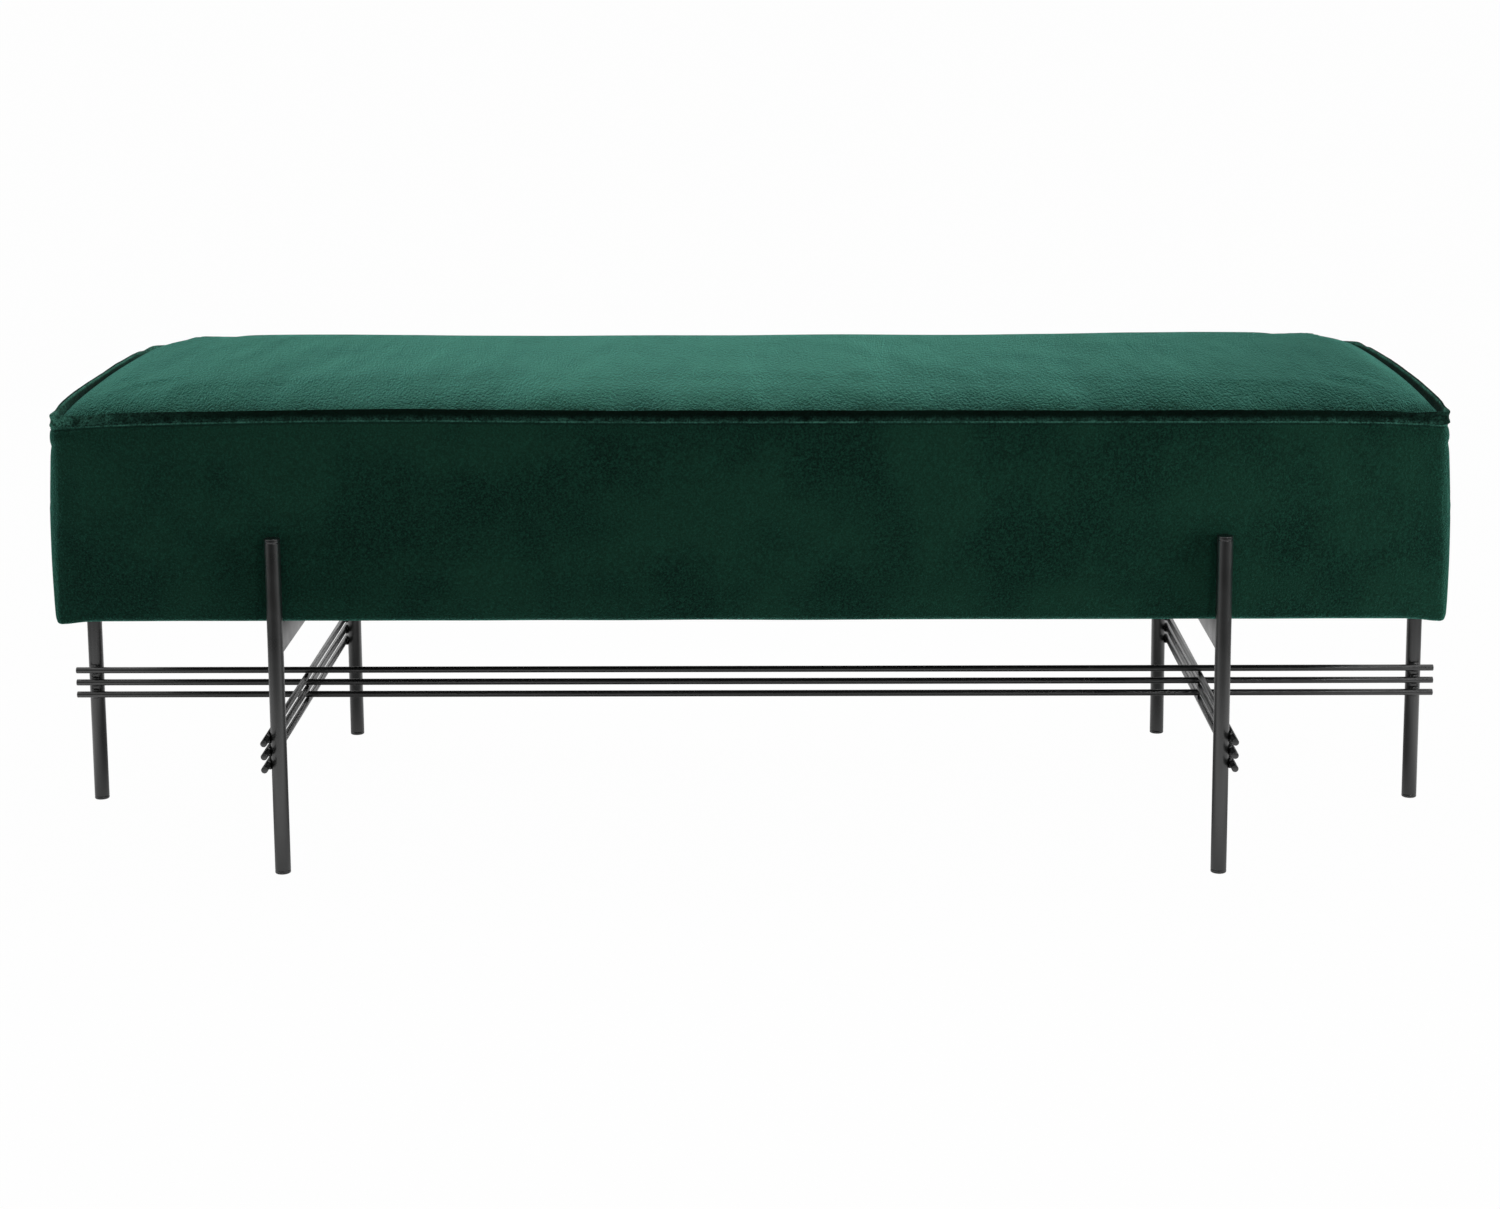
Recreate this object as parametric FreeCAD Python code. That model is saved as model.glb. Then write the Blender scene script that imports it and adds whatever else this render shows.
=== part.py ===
import FreeCAD, Part
import math
import os

# Long upholstered pouf on a welded rod base. Millimetres, +X to the right, +Y to the rear, +Z up.
# The origin is on the floor, under the middle of the seat.

V = FreeCAD.Vector
UP = V(0, 0, 1)
ALONG = V(1, 0, 0)
ACROSS = V(0, 1, 0)

# Seat box
seat_length = 1246.0
seat_depth = 416.0
seat_bottom_height = 227.0
seat_side_height = 177.5
seat_corner_radius = 14.0
# The sides are fullest at belly height and drawn in towards the seam and the lower edge
seam_draw_in = 1.0
lower_draw_in = 3.0
belly_height_share = 0.55
lower_edge_radius = 7.0
lower_edge_steps = 2
side_steps = 3

# Cover
cover_thickness = 1.2
cover_clearance = 0.3
hem_width = 34.0
flange_height = 9.5
flange_thickness = 4.6
flange_lean = 1.2
flange_tip_round = 1.5

# Crown of the top panel: its height falls from the middle to the seam by these powers of the plan
crown_rise = 34.0
crown_power_across = 3.4
crown_power_along = 19.0
crown_ring_shares = (1.0, 0.965, 0.92, 0.86, 0.78, 0.67, 0.52, 0.3)
crown_corner_growth = 20.0
crown_corner_share = 0.8

# Timber frame
side_padding = 14.0
rail_thickness = 20.0
deck_thickness = 9.0
seat_foam_thickness = 49.3
batten_width = 100.0
batten_thickness = 18.0
batten_shift = 25.0
corner_block_leg = 42.0
vent_diameter = 40.0
vent_pitch = 280.0

# Dust cover
dust_cover_thickness = 0.5
dust_cover_margin = 5.0

# Legs
leg_diameter = 14.0
leg_wall = 1.5
leg_top_height = 306.0
side_leg_inset = 205.5
side_leg_gap = 1.0
end_leg_gap = 3.0

# Caps and glides: a disc over the end of the tube and a ribbed stem inside it
cap_height = 4.0
glide_height = 3.0
plug_edge = 0.9
stem_length = 12.0
stem_rib = 1.6
stem_clearance = 0.1

# Rods
rod_diameter = 6.0
rod_stack_height = 118.5
long_rod_overhang = 17.0
depth_rod_overhang = 19.0

# Flat bars on edge, and the tabs that carry the seat
bar_height = 30.0
bar_thickness = 5.0
tab_width = 40.0
tab_reach = 30.0
tab_thickness = 4.0
tab_corner = 7.0
tab_inset = 86.0

# Fixings
screw_diameter = 6.0
screw_length = 18.0
screw_head_diameter = 10.5
screw_head_height = 3.3
socket_across_flats = 4.0
socket_depth = 2.0
screw_clearance = 0.3
insert_diameter = 10.0
insert_length = 13.0
thread_clearance = 0.05
insert_clearance = 0.05

# Fillet welds
rod_weld_height = 4.4
rod_weld_length = 6.0
rod_weld_skin = 0.3
bar_weld_leg = 3.0
weld_root = 1.5

overrun = 5.0

# Places worked out from the sizes above
leg_radius = leg_diameter / 2
bore_radius = leg_radius - leg_wall
rod_radius = rod_diameter / 2
half_length = seat_length / 2
half_depth = seat_depth / 2
seam_height = seat_bottom_height + seat_side_height
side_leg_x = half_length - side_leg_inset
side_leg_y = half_depth + side_leg_gap + leg_radius
end_leg_x = half_length + end_leg_gap + leg_radius
long_rod_y = -(leg_radius + rod_radius)
depth_rod_x = side_leg_x + leg_radius + rod_radius
bar_top = seat_bottom_height - dust_cover_thickness
frame_bottom = seat_bottom_height + cover_thickness
deck_top = seam_height - seat_foam_thickness
frame_top = deck_top - deck_thickness
frame_half_length = half_length - side_padding
frame_half_depth = half_depth - side_padding
inner_half_length = frame_half_length - rail_thickness
inner_half_depth = frame_half_depth - rail_thickness
tab_bottom = bar_top - tab_thickness
tab_hole_x = side_leg_x - bar_thickness / 2 - tab_reach / 2
tab_hole_y = side_leg_y - tab_inset
SIDES = {"left": -1, "right": 1}
LEGS = {
    "front_left": V(-side_leg_x, -side_leg_y, 0),
    "front_right": V(side_leg_x, -side_leg_y, 0),
    "rear_left": V(-side_leg_x, side_leg_y, 0),
    "rear_right": V(side_leg_x, side_leg_y, 0),
    "end_left": V(-end_leg_x, 0, 0),
    "end_right": V(end_leg_x, 0, 0),
}
LAYERS = {"upper": 1, "middle": 0, "lower": -1}


def box(x_range, y_range, z_range):
    """A block between two values on each axis, given in either order."""
    low = V(min(x_range), min(y_range), min(z_range))
    high = V(max(x_range), max(y_range), max(z_range))
    size = high - low
    return Part.makeBox(size.x, size.y, size.z, low)


def rounded_rectangle(half_x, half_y, radius, z):
    """A closed wire of four lines and four quarter circles, centred on the Z axis."""
    diagonal = radius * (1 - math.sqrt(0.5))
    edges = []
    for sx, sy in ((1, -1), (1, 1), (-1, 1), (-1, -1)):
        on_side = V(sx * half_x, sy * (half_y - radius), z)
        on_face = V(sx * (half_x - radius), sy * half_y, z)
        middle = V(sx * (half_x - diagonal), sy * (half_y - diagonal), z)
        start, end = (on_side, on_face) if sx == sy else (on_face, on_side)
        if edges:
            edges.append(Part.LineSegment(last, start).toShape())
        else:
            first = start
        edges.append(Part.Arc(start, middle, end).toShape())
        last = end
    edges.append(Part.LineSegment(last, first).toShape())
    return Part.Wire(edges)


def leg_tube(place):
    """A round tube between its glide and its cap."""
    length = leg_top_height - glide_height - cap_height
    outer = Part.makeCylinder(leg_radius, length, place + UP * glide_height)
    return outer.cut(Part.makeCylinder(bore_radius, leg_top_height, place))


def tube_plug(place, height, stem_way):
    """A disc with a broken outer edge and a cross-ribbed stem; stem_way is 1 up or -1 down."""
    disc = Part.makeCylinder(leg_radius, height)
    rim = [edge for edge in disc.Edges if edge.Closed and edge.BoundBox.ZMax < height / 2]
    disc = disc.makeChamfer(plug_edge, rim)
    half_rib = stem_rib / 2
    reach = math.sqrt((bore_radius - stem_clearance) ** 2 - half_rib**2)
    rise = (height / 2, height + stem_length)
    stem = box((-reach, reach), (-half_rib, half_rib), rise)
    stem = stem.fuse(box((-half_rib, half_rib), (-reach, reach), rise))
    plug = disc.fuse(stem).removeSplitter()
    if stem_way < 0:
        plug.rotate(V(0, 0, 0), ALONG, 180)
    plug.translate(place)
    return plug


def glide(leg):
    return tube_plug(leg, glide_height, 1)


def leg_cap(leg):
    return tube_plug(leg + UP * leg_top_height, cap_height, -1)


def long_rod(layer):
    """A rod in front of both end legs, level with its layer."""
    reach = end_leg_x + long_rod_overhang
    height = rod_stack_height + layer * 2 * rod_diameter
    return Part.makeCylinder(rod_radius, 2 * reach, V(-reach, long_rod_y, height), ALONG)


def depth_rod(side, layer):
    """A rod outside the side legs, resting one rod lower than the long rod of its layer."""
    reach = side_leg_y + depth_rod_overhang
    height = rod_stack_height + layer * 2 * rod_diameter - rod_diameter
    return Part.makeCylinder(rod_radius, 2 * reach, V(side * depth_rod_x, -reach, height), ACROSS)


def cross_bar(side):
    """A flat bar on edge from the front leg to the rear leg, coped to both tubes."""
    half = bar_thickness / 2
    middle = side * side_leg_x
    bar = box((middle - half, middle + half), (-side_leg_y, side_leg_y), (bar_top - bar_height, bar_top))
    for y in (-side_leg_y, side_leg_y):
        bar = bar.cut(Part.makeCylinder(leg_radius, leg_top_height, V(middle, y, 0)))
    return bar


def end_bar(side):
    """A flat bar on edge from the end leg to the cross bar, coped to the tube."""
    half = bar_thickness / 2
    inner = side * (side_leg_x + half)
    bar = box((inner, side * end_leg_x), (-half, half), (bar_top - bar_height, bar_top))
    return bar.cut(Part.makeCylinder(leg_radius, leg_top_height, V(side * end_leg_x, 0, 0)))


def fixing_points(side):
    """Screw centres of the two tabs on one cross bar."""
    return [V(side * tab_hole_x, y, 0) for y in (-tab_hole_y, tab_hole_y)]


def all_fixing_points():
    return [centre for side in SIDES.values() for centre in fixing_points(side)]


def fixing_tab(side, centre):
    """A flat tab on the inner side of a cross bar, level with its top, with a clearance hole."""
    root = side * (side_leg_x - bar_thickness / 2)
    tip = root - side * tab_reach
    shoulder = tip + side * tab_corner
    near = centre.y - tab_width / 2
    far = centre.y + tab_width / 2
    plan = [
        (root, near),
        (shoulder, near),
        (tip, near + tab_corner),
        (tip, far - tab_corner),
        (shoulder, far),
        (root, far),
        (root, near),
    ]
    outline = Part.makePolygon([V(x, y, tab_bottom) for x, y in plan])
    plate = Part.Face(outline).extrude(UP * tab_thickness)
    return plate.cut(Part.makeCylinder(screw_diameter / 2 + screw_clearance, bar_top, centre))


def fixing_tabs(side):
    return Part.makeCompound([fixing_tab(side, centre) for centre in fixing_points(side)])


def button_screw(centre):
    """A low-headed screw from below, with a hexagon socket."""
    face = tab_bottom - screw_head_height
    head = Part.makeCylinder(screw_head_diameter / 2, screw_head_height, centre + UP * face)
    shank = Part.makeCylinder(screw_diameter / 2, screw_length, centre + UP * tab_bottom)
    corner_radius = socket_across_flats / math.sqrt(3)
    turns = [turn * math.pi / 3 for turn in range(7)]
    corners = [V(corner_radius * math.cos(turn), corner_radius * math.sin(turn), 0) for turn in turns]
    socket = Part.Face(Part.makePolygon(corners)).extrude(UP * socket_depth)
    socket.translate(centre + UP * face)
    return head.fuse(shank).removeSplitter().cut(socket)


def threaded_insert(centre):
    """A threaded sleeve let into the underside of a batten."""
    sleeve = Part.makeCylinder(insert_diameter / 2, insert_length, centre + UP * frame_bottom)
    return sleeve.cut(Part.makeCylinder(screw_diameter / 2 + thread_clearance, leg_top_height, centre))


def rod_weld(leg, outward, rod_height):
    """A fillet of weld in the groove above a rod that lies against a leg."""
    sideways = outward.cross(UP)
    start = leg + UP * rod_height - sideways * (rod_weld_length / 2)
    rod_line = leg_radius + rod_radius
    section = [
        (leg_radius - weld_root, 0),
        (leg_radius - weld_root, rod_weld_height),
        (leg_radius + rod_weld_skin, rod_weld_height),
        (rod_line, rod_radius + rod_weld_skin),
        (rod_line, 0),
        (leg_radius - weld_root, 0),
    ]
    outline = Part.makePolygon([start + outward * out + UP * up for out, up in section])
    bead = Part.Face(outline).extrude(sideways * rod_weld_length)
    rod_start = leg + outward * rod_line + UP * rod_height - sideways * leg_diameter
    bead = bead.cut(Part.makeCylinder(rod_radius, 2 * leg_diameter, rod_start, sideways))
    return bead.cut(Part.makeCylinder(leg_radius, leg_top_height, leg))


def bar_welds(leg, inward):
    """Two upright fillet welds where a bar on edge meets a tube."""
    beads = []
    sideways = inward.cross(UP)
    half_bar = bar_thickness / 2
    seat = math.sqrt(leg_radius**2 - half_bar**2)
    start = leg + UP * (bar_top - bar_height)
    for hand in (-1, 1):
        section = [
            (seat - weld_root, half_bar),
            (seat + bar_weld_leg, half_bar),
            (seat - weld_root, half_bar + bar_weld_leg + weld_root),
            (seat - weld_root, half_bar),
        ]
        corners = [start + inward * along + sideways * (hand * out) for along, out in section]
        bead = Part.Face(Part.makePolygon(corners)).extrude(UP * bar_height)
        beads.append(bead.cut(Part.makeCylinder(leg_radius, leg_top_height, leg)))
    return beads


def weld_beads():
    """Fillet welds of the rods at every leg, and of the bars at the tubes."""
    beads = []
    for layer in LAYERS.values():
        long_height = rod_stack_height + layer * 2 * rod_diameter
        for side in SIDES.values():
            beads.append(rod_weld(V(side * end_leg_x, 0, 0), -ACROSS, long_height))
            for y in (-side_leg_y, side_leg_y):
                leg = V(side * side_leg_x, y, 0)
                beads.append(rod_weld(leg, ALONG * side, long_height - rod_diameter))
    for side in SIDES.values():
        beads += bar_welds(V(side * side_leg_x, -side_leg_y, 0), ACROSS)
        beads += bar_welds(V(side * side_leg_x, side_leg_y, 0), -ACROSS)
        beads += bar_welds(V(side * end_leg_x, 0, 0), ALONG * -side)
    return Part.makeCompound(beads)


def draw_in_at(height):
    """How far the side lies inside its fullest line at a height: a shallow bow."""
    belly = seat_bottom_height + seat_side_height * belly_height_share
    if height > belly:
        return seam_draw_in * ((height - belly) / (seam_height - belly)) ** 2
    return lower_draw_in * ((belly - height) / (belly - seat_bottom_height)) ** 2


def seat_envelope(inset):
    """The outside of the side band: bowed sides over a rounded lower edge."""
    levels = []
    for step in range(lower_edge_steps):
        turn = step / lower_edge_steps * math.pi / 2
        height = seat_bottom_height + lower_edge_radius * (1 - math.cos(turn))
        levels.append((height, draw_in_at(height) + lower_edge_radius * (1 - math.sin(turn))))
    side_bottom = seat_bottom_height + lower_edge_radius
    for step in range(side_steps + 1):
        height = side_bottom + (seam_height - side_bottom) * step / side_steps
        levels.append((height, draw_in_at(height)))
    wires = []
    for height, draw_in in levels:
        step_in = inset + draw_in
        half_x = half_length - step_in
        half_y = half_depth - step_in
        wires.append(rounded_rectangle(half_x, half_y, seat_corner_radius - inset, height))
    return Part.makeLoft(wires, True, True)


def cover_band():
    """The velvet side band with its hem turned under the frame."""
    whole = (-end_leg_x, end_leg_x), (-side_leg_y, side_leg_y)
    inside = seat_envelope(cover_thickness).common(box(*whole, (frame_bottom, seam_height)))
    band = seat_envelope(0).cut(inside)
    open_x = frame_half_length - hem_width
    open_y = frame_half_depth - hem_width
    window = box((-open_x, open_x), (-open_y, open_y), (0, frame_bottom + overrun))
    return band.cut(window)


def side_foams():
    """Four foam pads that fill the space between the frame and the cover."""
    gap = cover_thickness + cover_clearance
    top = seam_height - cover_clearance
    core = seat_envelope(gap).common(
        box((-end_leg_x, end_leg_x), (-side_leg_y, side_leg_y), (frame_bottom, top))
    )
    full = (-end_leg_x, end_leg_x)
    heights = (0, seam_height)
    pads = {}
    for name, hand in (("front", -1), ("rear", 1)):
        pads[name] = core.common(box(full, (hand * frame_half_depth, hand * side_leg_y), heights))
    between = (-frame_half_depth, frame_half_depth)
    for name, hand in SIDES.items():
        pads[name] = core.common(box((hand * frame_half_length, hand * end_leg_x), between, heights))
    return pads


def crown(base_height):
    """A low crowned form: a loft through rounded rectangles that shrink towards the top."""
    edge = seam_draw_in + flange_thickness + cover_clearance
    base_x = half_length - edge
    base_y = half_depth - edge
    wires = []
    for ring_share in crown_ring_shares:
        level = 1 - ring_share**crown_power_across
        half_x = base_x * (1 - level) ** (1 / crown_power_along)
        half_y = base_y * ring_share
        radius = min(seat_corner_radius + crown_corner_growth * level, half_y * crown_corner_share)
        wires.append(rounded_rectangle(half_x, half_y, radius, base_height + crown_rise * level))
    return Part.makeLoft(wires, True, True)


def cover_top():
    """The velvet top panel over the wadding."""
    return crown(seam_height).cut(crown(seam_height - cover_thickness))


def crown_wadding():
    """Soft fibre pad that gives the top its crown."""
    form = crown(seam_height - cover_thickness - cover_clearance)
    above = box((-half_length, half_length), (-half_depth, half_depth), (seam_height, seam_height + crown_rise))
    return form.common(above)


def seam_flange():
    """The doubled fin of fabric that stands on the seam all round the top."""
    levels = (
        (0, 0, flange_thickness),
        (flange_height - flange_tip_round, -flange_lean, flange_thickness),
        (flange_height, flange_tip_round / 2 - flange_lean, flange_thickness - flange_tip_round),
    )
    outer_wires = []
    inner_wires = []
    for rise, lean, thickness in levels:
        outer = seam_draw_in + lean
        inner = outer + thickness
        height = seam_height + rise
        outer_wires.append(
            rounded_rectangle(half_length - outer, half_depth - outer, seat_corner_radius, height)
        )
        inner_radius = seat_corner_radius - thickness
        inner_wires.append(
            rounded_rectangle(half_length - inner, half_depth - inner, inner_radius, height)
        )
    outer_form = Part.makeLoft(outer_wires, True, True)
    inner_form = Part.makeLoft(inner_wires, True, True)
    return outer_form.cut(inner_form)


def rails():
    """Front and rear rails run through; the end rails stand between them."""
    heights = (frame_bottom, frame_top)
    full = (-frame_half_length, frame_half_length)
    pieces = {}
    for name, hand in (("front", -1), ("rear", 1)):
        pieces[name] = box(full, (hand * inner_half_depth, hand * frame_half_depth), heights)
    between = (-inner_half_depth, inner_half_depth)
    for name, hand in SIDES.items():
        pieces["end_" + name] = box((hand * inner_half_length, hand * frame_half_length), between, heights)
    return pieces


def centre_rib():
    half = rail_thickness / 2
    return box((-half, half), (-inner_half_depth, inner_half_depth), (frame_bottom, frame_top))


def fixing_batten(side):
    """The flat board over a cross bar, bored for the threaded inserts."""
    middle = side * (side_leg_x - batten_shift)
    reach = batten_width / 2
    top = frame_bottom + batten_thickness
    between = (-inner_half_depth, inner_half_depth)
    board = box((middle - reach, middle + reach), between, (frame_bottom, top))
    for centre in fixing_points(side):
        board = board.cut(Part.makeCylinder(insert_diameter / 2 + insert_clearance, top + overrun, centre))
    return board


def corner_block(hand_x, hand_y):
    """A three-cornered glue block in an inside corner of the rails."""
    corner = V(hand_x * inner_half_length, hand_y * inner_half_depth, frame_bottom)
    along = corner - ALONG * (hand_x * corner_block_leg)
    across = corner - ACROSS * (hand_y * corner_block_leg)
    outline = Part.makePolygon([corner, along, across, corner])
    return Part.Face(outline).extrude(UP * (frame_top - frame_bottom))


def seat_deck():
    """The board under the foam, with a row of vent holes each side of the rib."""
    deck = box(
        (-frame_half_length, frame_half_length),
        (-frame_half_depth, frame_half_depth),
        (frame_top, deck_top),
    )
    count = int(inner_half_length / vent_pitch)
    for hand in SIDES.values():
        for step in range(count):
            place = V(hand * (step + 1 / 2) * vent_pitch, 0, 0)
            deck = deck.cut(Part.makeCylinder(vent_diameter / 2, deck_top + overrun, place))
    return deck


def seat_foam():
    """The foam block on the deck, up to the height of the seam."""
    return box(
        (-frame_half_length, frame_half_length),
        (-frame_half_depth, frame_half_depth),
        (deck_top, seam_height),
    )


def dust_cover():
    """Thin cloth closing the underside, slit open square where the screws pass."""
    half_x = frame_half_length - dust_cover_margin
    half_y = frame_half_depth - dust_cover_margin
    sheet = box((-half_x, half_x), (-half_y, half_y), (bar_top, seat_bottom_height))
    slit = screw_diameter / 2 + screw_clearance
    for centre in all_fixing_points():
        x = centre.x
        y = centre.y
        sheet = sheet.cut(box((x - slit, x + slit), (y - slit, y + slit), (0, seam_height)))
    return sheet


def build():
    """Every piece of the pouf by its node name."""
    pieces = {}
    for name, place in LEGS.items():
        pieces["leg_" + name] = leg_tube(place)
    pieces["leg_caps"] = Part.makeCompound([leg_cap(place) for place in LEGS.values()])
    pieces["leg_glides"] = Part.makeCompound([glide(place) for place in LEGS.values()])
    for name, layer in LAYERS.items():
        pieces["long_rod_" + name] = long_rod(layer)
    for side_name, side in SIDES.items():
        for name, layer in LAYERS.items():
            pieces["depth_rod_" + side_name + "_" + name] = depth_rod(side, layer)
        pieces["cross_bar_" + side_name] = cross_bar(side)
        pieces["end_bar_" + side_name] = end_bar(side)
        pieces["fixing_tabs_" + side_name] = fixing_tabs(side)
        pieces["fixing_batten_" + side_name] = fixing_batten(side)
        for end, hand in (("front", -1), ("rear", 1)):
            pieces["corner_block_" + end + "_" + side_name] = corner_block(side, hand)
    pieces["weld_beads"] = weld_beads()
    centres = all_fixing_points()
    pieces["fixing_screws"] = Part.makeCompound([button_screw(centre) for centre in centres])
    pieces["threaded_inserts"] = Part.makeCompound([threaded_insert(centre) for centre in centres])
    for name, solid in rails().items():
        pieces["rail_" + name] = solid
    pieces["centre_rib"] = centre_rib()
    pieces["seat_deck"] = seat_deck()
    pieces["seat_foam"] = seat_foam()
    pieces["crown_wadding"] = crown_wadding()
    for name, solid in side_foams().items():
        pieces["side_foam_" + name] = solid
    pieces["cover_band"] = cover_band()
    pieces["cover_top"] = cover_top()
    pieces["seam_flange"] = seam_flange()
    pieces["dust_cover"] = dust_cover()
    return pieces


os.makedirs("parts", exist_ok=True)
for node, shape in build().items():
    shape.exportStep(os.path.join("parts", node + ".step"))
    print(node, len(shape.Solids), round(shape.Volume), shape.isValid())
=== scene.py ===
import itertools
import math

import bmesh
import bpy
from mathutils import Matrix, Vector, noise


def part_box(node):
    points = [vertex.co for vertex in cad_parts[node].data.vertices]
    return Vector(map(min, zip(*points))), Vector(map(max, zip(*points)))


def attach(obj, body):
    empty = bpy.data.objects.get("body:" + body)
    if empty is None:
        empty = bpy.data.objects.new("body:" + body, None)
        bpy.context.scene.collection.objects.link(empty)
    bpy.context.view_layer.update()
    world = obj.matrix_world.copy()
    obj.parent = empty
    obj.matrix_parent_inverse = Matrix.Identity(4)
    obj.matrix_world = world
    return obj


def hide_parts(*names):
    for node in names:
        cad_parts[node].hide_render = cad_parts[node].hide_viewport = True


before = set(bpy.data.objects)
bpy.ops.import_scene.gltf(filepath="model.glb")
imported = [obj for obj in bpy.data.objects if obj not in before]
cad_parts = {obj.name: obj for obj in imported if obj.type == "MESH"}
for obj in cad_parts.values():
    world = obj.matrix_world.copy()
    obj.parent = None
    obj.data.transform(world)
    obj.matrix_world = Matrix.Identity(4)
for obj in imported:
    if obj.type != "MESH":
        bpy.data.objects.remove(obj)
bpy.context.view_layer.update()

bl_info = {
    "name": "Velvet pouf",
    "version": (1, 0, 0),
    "blender": (4, 5, 0),
    "location": "3D View > Sidebar > Pouf",
    "description": "Velvet seat, rod base and studio of a long upholstered pouf",
    "category": "Object",
}

# Metres, in the frame's own axes: +X to the right, +Y to the rear, +Z up.
BODY = "root"
MM = 0.001
UP = Vector((0.0, 0.0, 1.0))

# Image size that the photograph's framing is worked out from
IMAGE_WIDTH = 1500
IMAGE_HEIGHT = 1209

# Places of the seat, from the frame
BAND_LOW, BAND_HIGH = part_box("cover_band")
FIN_LOW, FIN_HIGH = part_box("seam_flange")
CROWN_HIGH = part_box("cover_top")[1]
HALF_LENGTH = BAND_HIGH.x
HALF_DEPTH = BAND_HIGH.y
SEAT_BOTTOM = BAND_LOW.z
FIN_HEIGHT = FIN_HIGH.z - FIN_LOW.z
# The dressed seam stands a little above the solid's, where the photograph has it
SEAM_LIFT = 2.5 * MM
SEAM_HEIGHT = FIN_LOW.z + SEAM_LIFT


def linear(hex_colour):
    """A linear colour with alpha from an sRGB hex value."""
    shares = [int(hex_colour[start:start + 2], 16) / 255 for start in (0, 2, 4)]
    return tuple(s / 12.92 if s <= 0.04045 else ((s + 0.055) / 1.055) ** 2.4 for s in shares) + (1.0,)


# Sizes, colours and lights that a user would change


def number_property(name, description, default, **kind):
    return bpy.props.FloatProperty(name=name, description=description, default=default, **kind)


def length_property(name, description, default):
    return number_property(name, description, default, unit="LENGTH")


def power_property(name, description, default):
    return number_property(name, description, default, unit="POWER")


def angle_property(name, description, degrees):
    return number_property(name, description, math.radians(degrees), subtype="ANGLE")


def colour_property(name, description, hex_colour):
    return bpy.props.FloatVectorProperty(
        name=name, description=description, default=linear(hex_colour), size=4, subtype="COLOR"
    )


class PoufSeat(bpy.types.PropertyGroup):
    """Sizes of the velvet seat."""

    cell: length_property("Cell", "Spacing of the cloth's corners on the flat", 6 * MM)
    edge_cell: length_property("Edge cell", "Spacing of the cloth's corners beside a seam", 2.2 * MM)
    corner_radius: length_property("Corner radius", "Plan radius of the seat's upright edges", 11 * MM)
    lower_radius: length_property("Lower radius", "Radius where the band turns under", 7 * MM)
    cloth: length_property("Cloth", "Thickness of the velvet", 1.2 * MM)
    hem: length_property("Hem", "Width of the velvet turned under the frame", 34 * MM)
    crown: length_property("Crown", "Height of the crown over its rounded border", 11.5 * MM)
    power_across: number_property("Power across", "How squarely the crown falls to the front and rear", 2.4)
    power_along: number_property("Power along", "How squarely the crown falls to the ends", 14.0)
    swell: length_property("Swell", "How far the padding may push the cloth out", 1.0 * MM)
    pucker_pitch: length_property("Pucker pitch", "Spacing of the puckers along the seam", 9 * MM)
    pucker_depth: length_property("Pucker depth", "Depth of the puckers at the seam", 0.35 * MM)
    end_draw: length_property("End draw", "How far the seam draws the ends' corners in", 5.5 * MM)
    seam_wander: length_property("Seam wander", "How far the seam rises and dips along the seat", 2.6 * MM)
    end_gap: length_property("End gap", "How far the ends stand inside the frame's length", 2.6 * MM)
    roll: length_property("Roll", "Height of the crown's rounded border", 19 * MM)
    roll_width: length_property("Roll width", "Width of the crown's rounded border", 52 * MM)
    fin_thickness: length_property("Fin thickness", "Thickness of the doubled seam fin", 3.4 * MM)
    fin_root: length_property("Fin root", "How far the seam is drawn in", 3.4 * MM)
    fin_lean: length_property("Fin lean", "How far the fin's free edge leans out", 2.6 * MM)
    fin_wave: length_property("Fin wave", "How far the fin's free edge wanders", 0.9 * MM)
    corner_drop: length_property("Corner drop", "How far the folded lower corners hang", 2.6 * MM)


class PoufBase(bpy.types.PropertyGroup):
    """Sizes of the rod base."""

    tube_wall: length_property("Tube wall", "Wall of the leg tubes", 1.5 * MM)
    tube_edge: length_property("Tube edge", "Rounding of the tubes' sawn ends", 0.3 * MM)
    plug_edge: length_property("Plug edge", "Rounding of the caps and glides", 1.4 * MM)
    rod_edge: length_property("Rod edge", "Rounding of the rods' tips", 0.6 * MM)
    bar_edge: length_property("Bar edge", "Rounding of the flat bars", 0.5 * MM)
    weld_width: length_property("Weld width", "Width of a weld bead", 3.6 * MM)
    weld_ripple: length_property("Weld ripple", "Pitch of the ripples in a weld bead", 1.5 * MM)
    turn_steps: bpy.props.IntProperty(name="Turn steps", description="Faces round a tube or rod", default=48)


class PoufColours(bpy.types.PropertyGroup):
    """Colours of the materials."""

    pile_deep: colour_property("Pile, deep", "Velvet seen face on", "071a12")
    pile_lifted: colour_property("Pile, lifted", "Velvet where the nap is brushed up", "133023")
    pile_tips: colour_property("Pile, tips", "Flecks of brighter tips in the velvet", "1c4c3c")
    # Lighter pile where a fold opens it, also the colour of the painted highlights on the ridge and the fin
    pile_parted_and_highlight: colour_property("Pile, parted", "Velvet where a fold opens the pile", "4c8876")
    pile_sheen: colour_property("Pile sheen", "Tips of the pile, seen along the cloth", "7fe0ca")
    powder_coat: colour_property("Powder coat", "Satin black coat on the steel", "181919")
    plug: colour_property("Plug", "Moulded caps and glides", "18191a")
    zinc: colour_property("Zinc", "Plated screws and inserts", "b9bcbf")
    pine: colour_property("Pine", "Early wood of the frame", "d9b98a")
    pine_late: colour_property("Pine, late wood", "Late wood of the frame", "b98a55")
    birch: colour_property("Birch", "Face of the plywood", "dcc39a")
    foam: colour_property("Foam", "Cut polyether foam", "e6dcb4")
    wadding: colour_property("Wadding", "Polyester wadding", "eeeeea")
    dust_cloth: colour_property("Dust cloth", "Spunbonded cloth under the seat", "161616")


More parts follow.
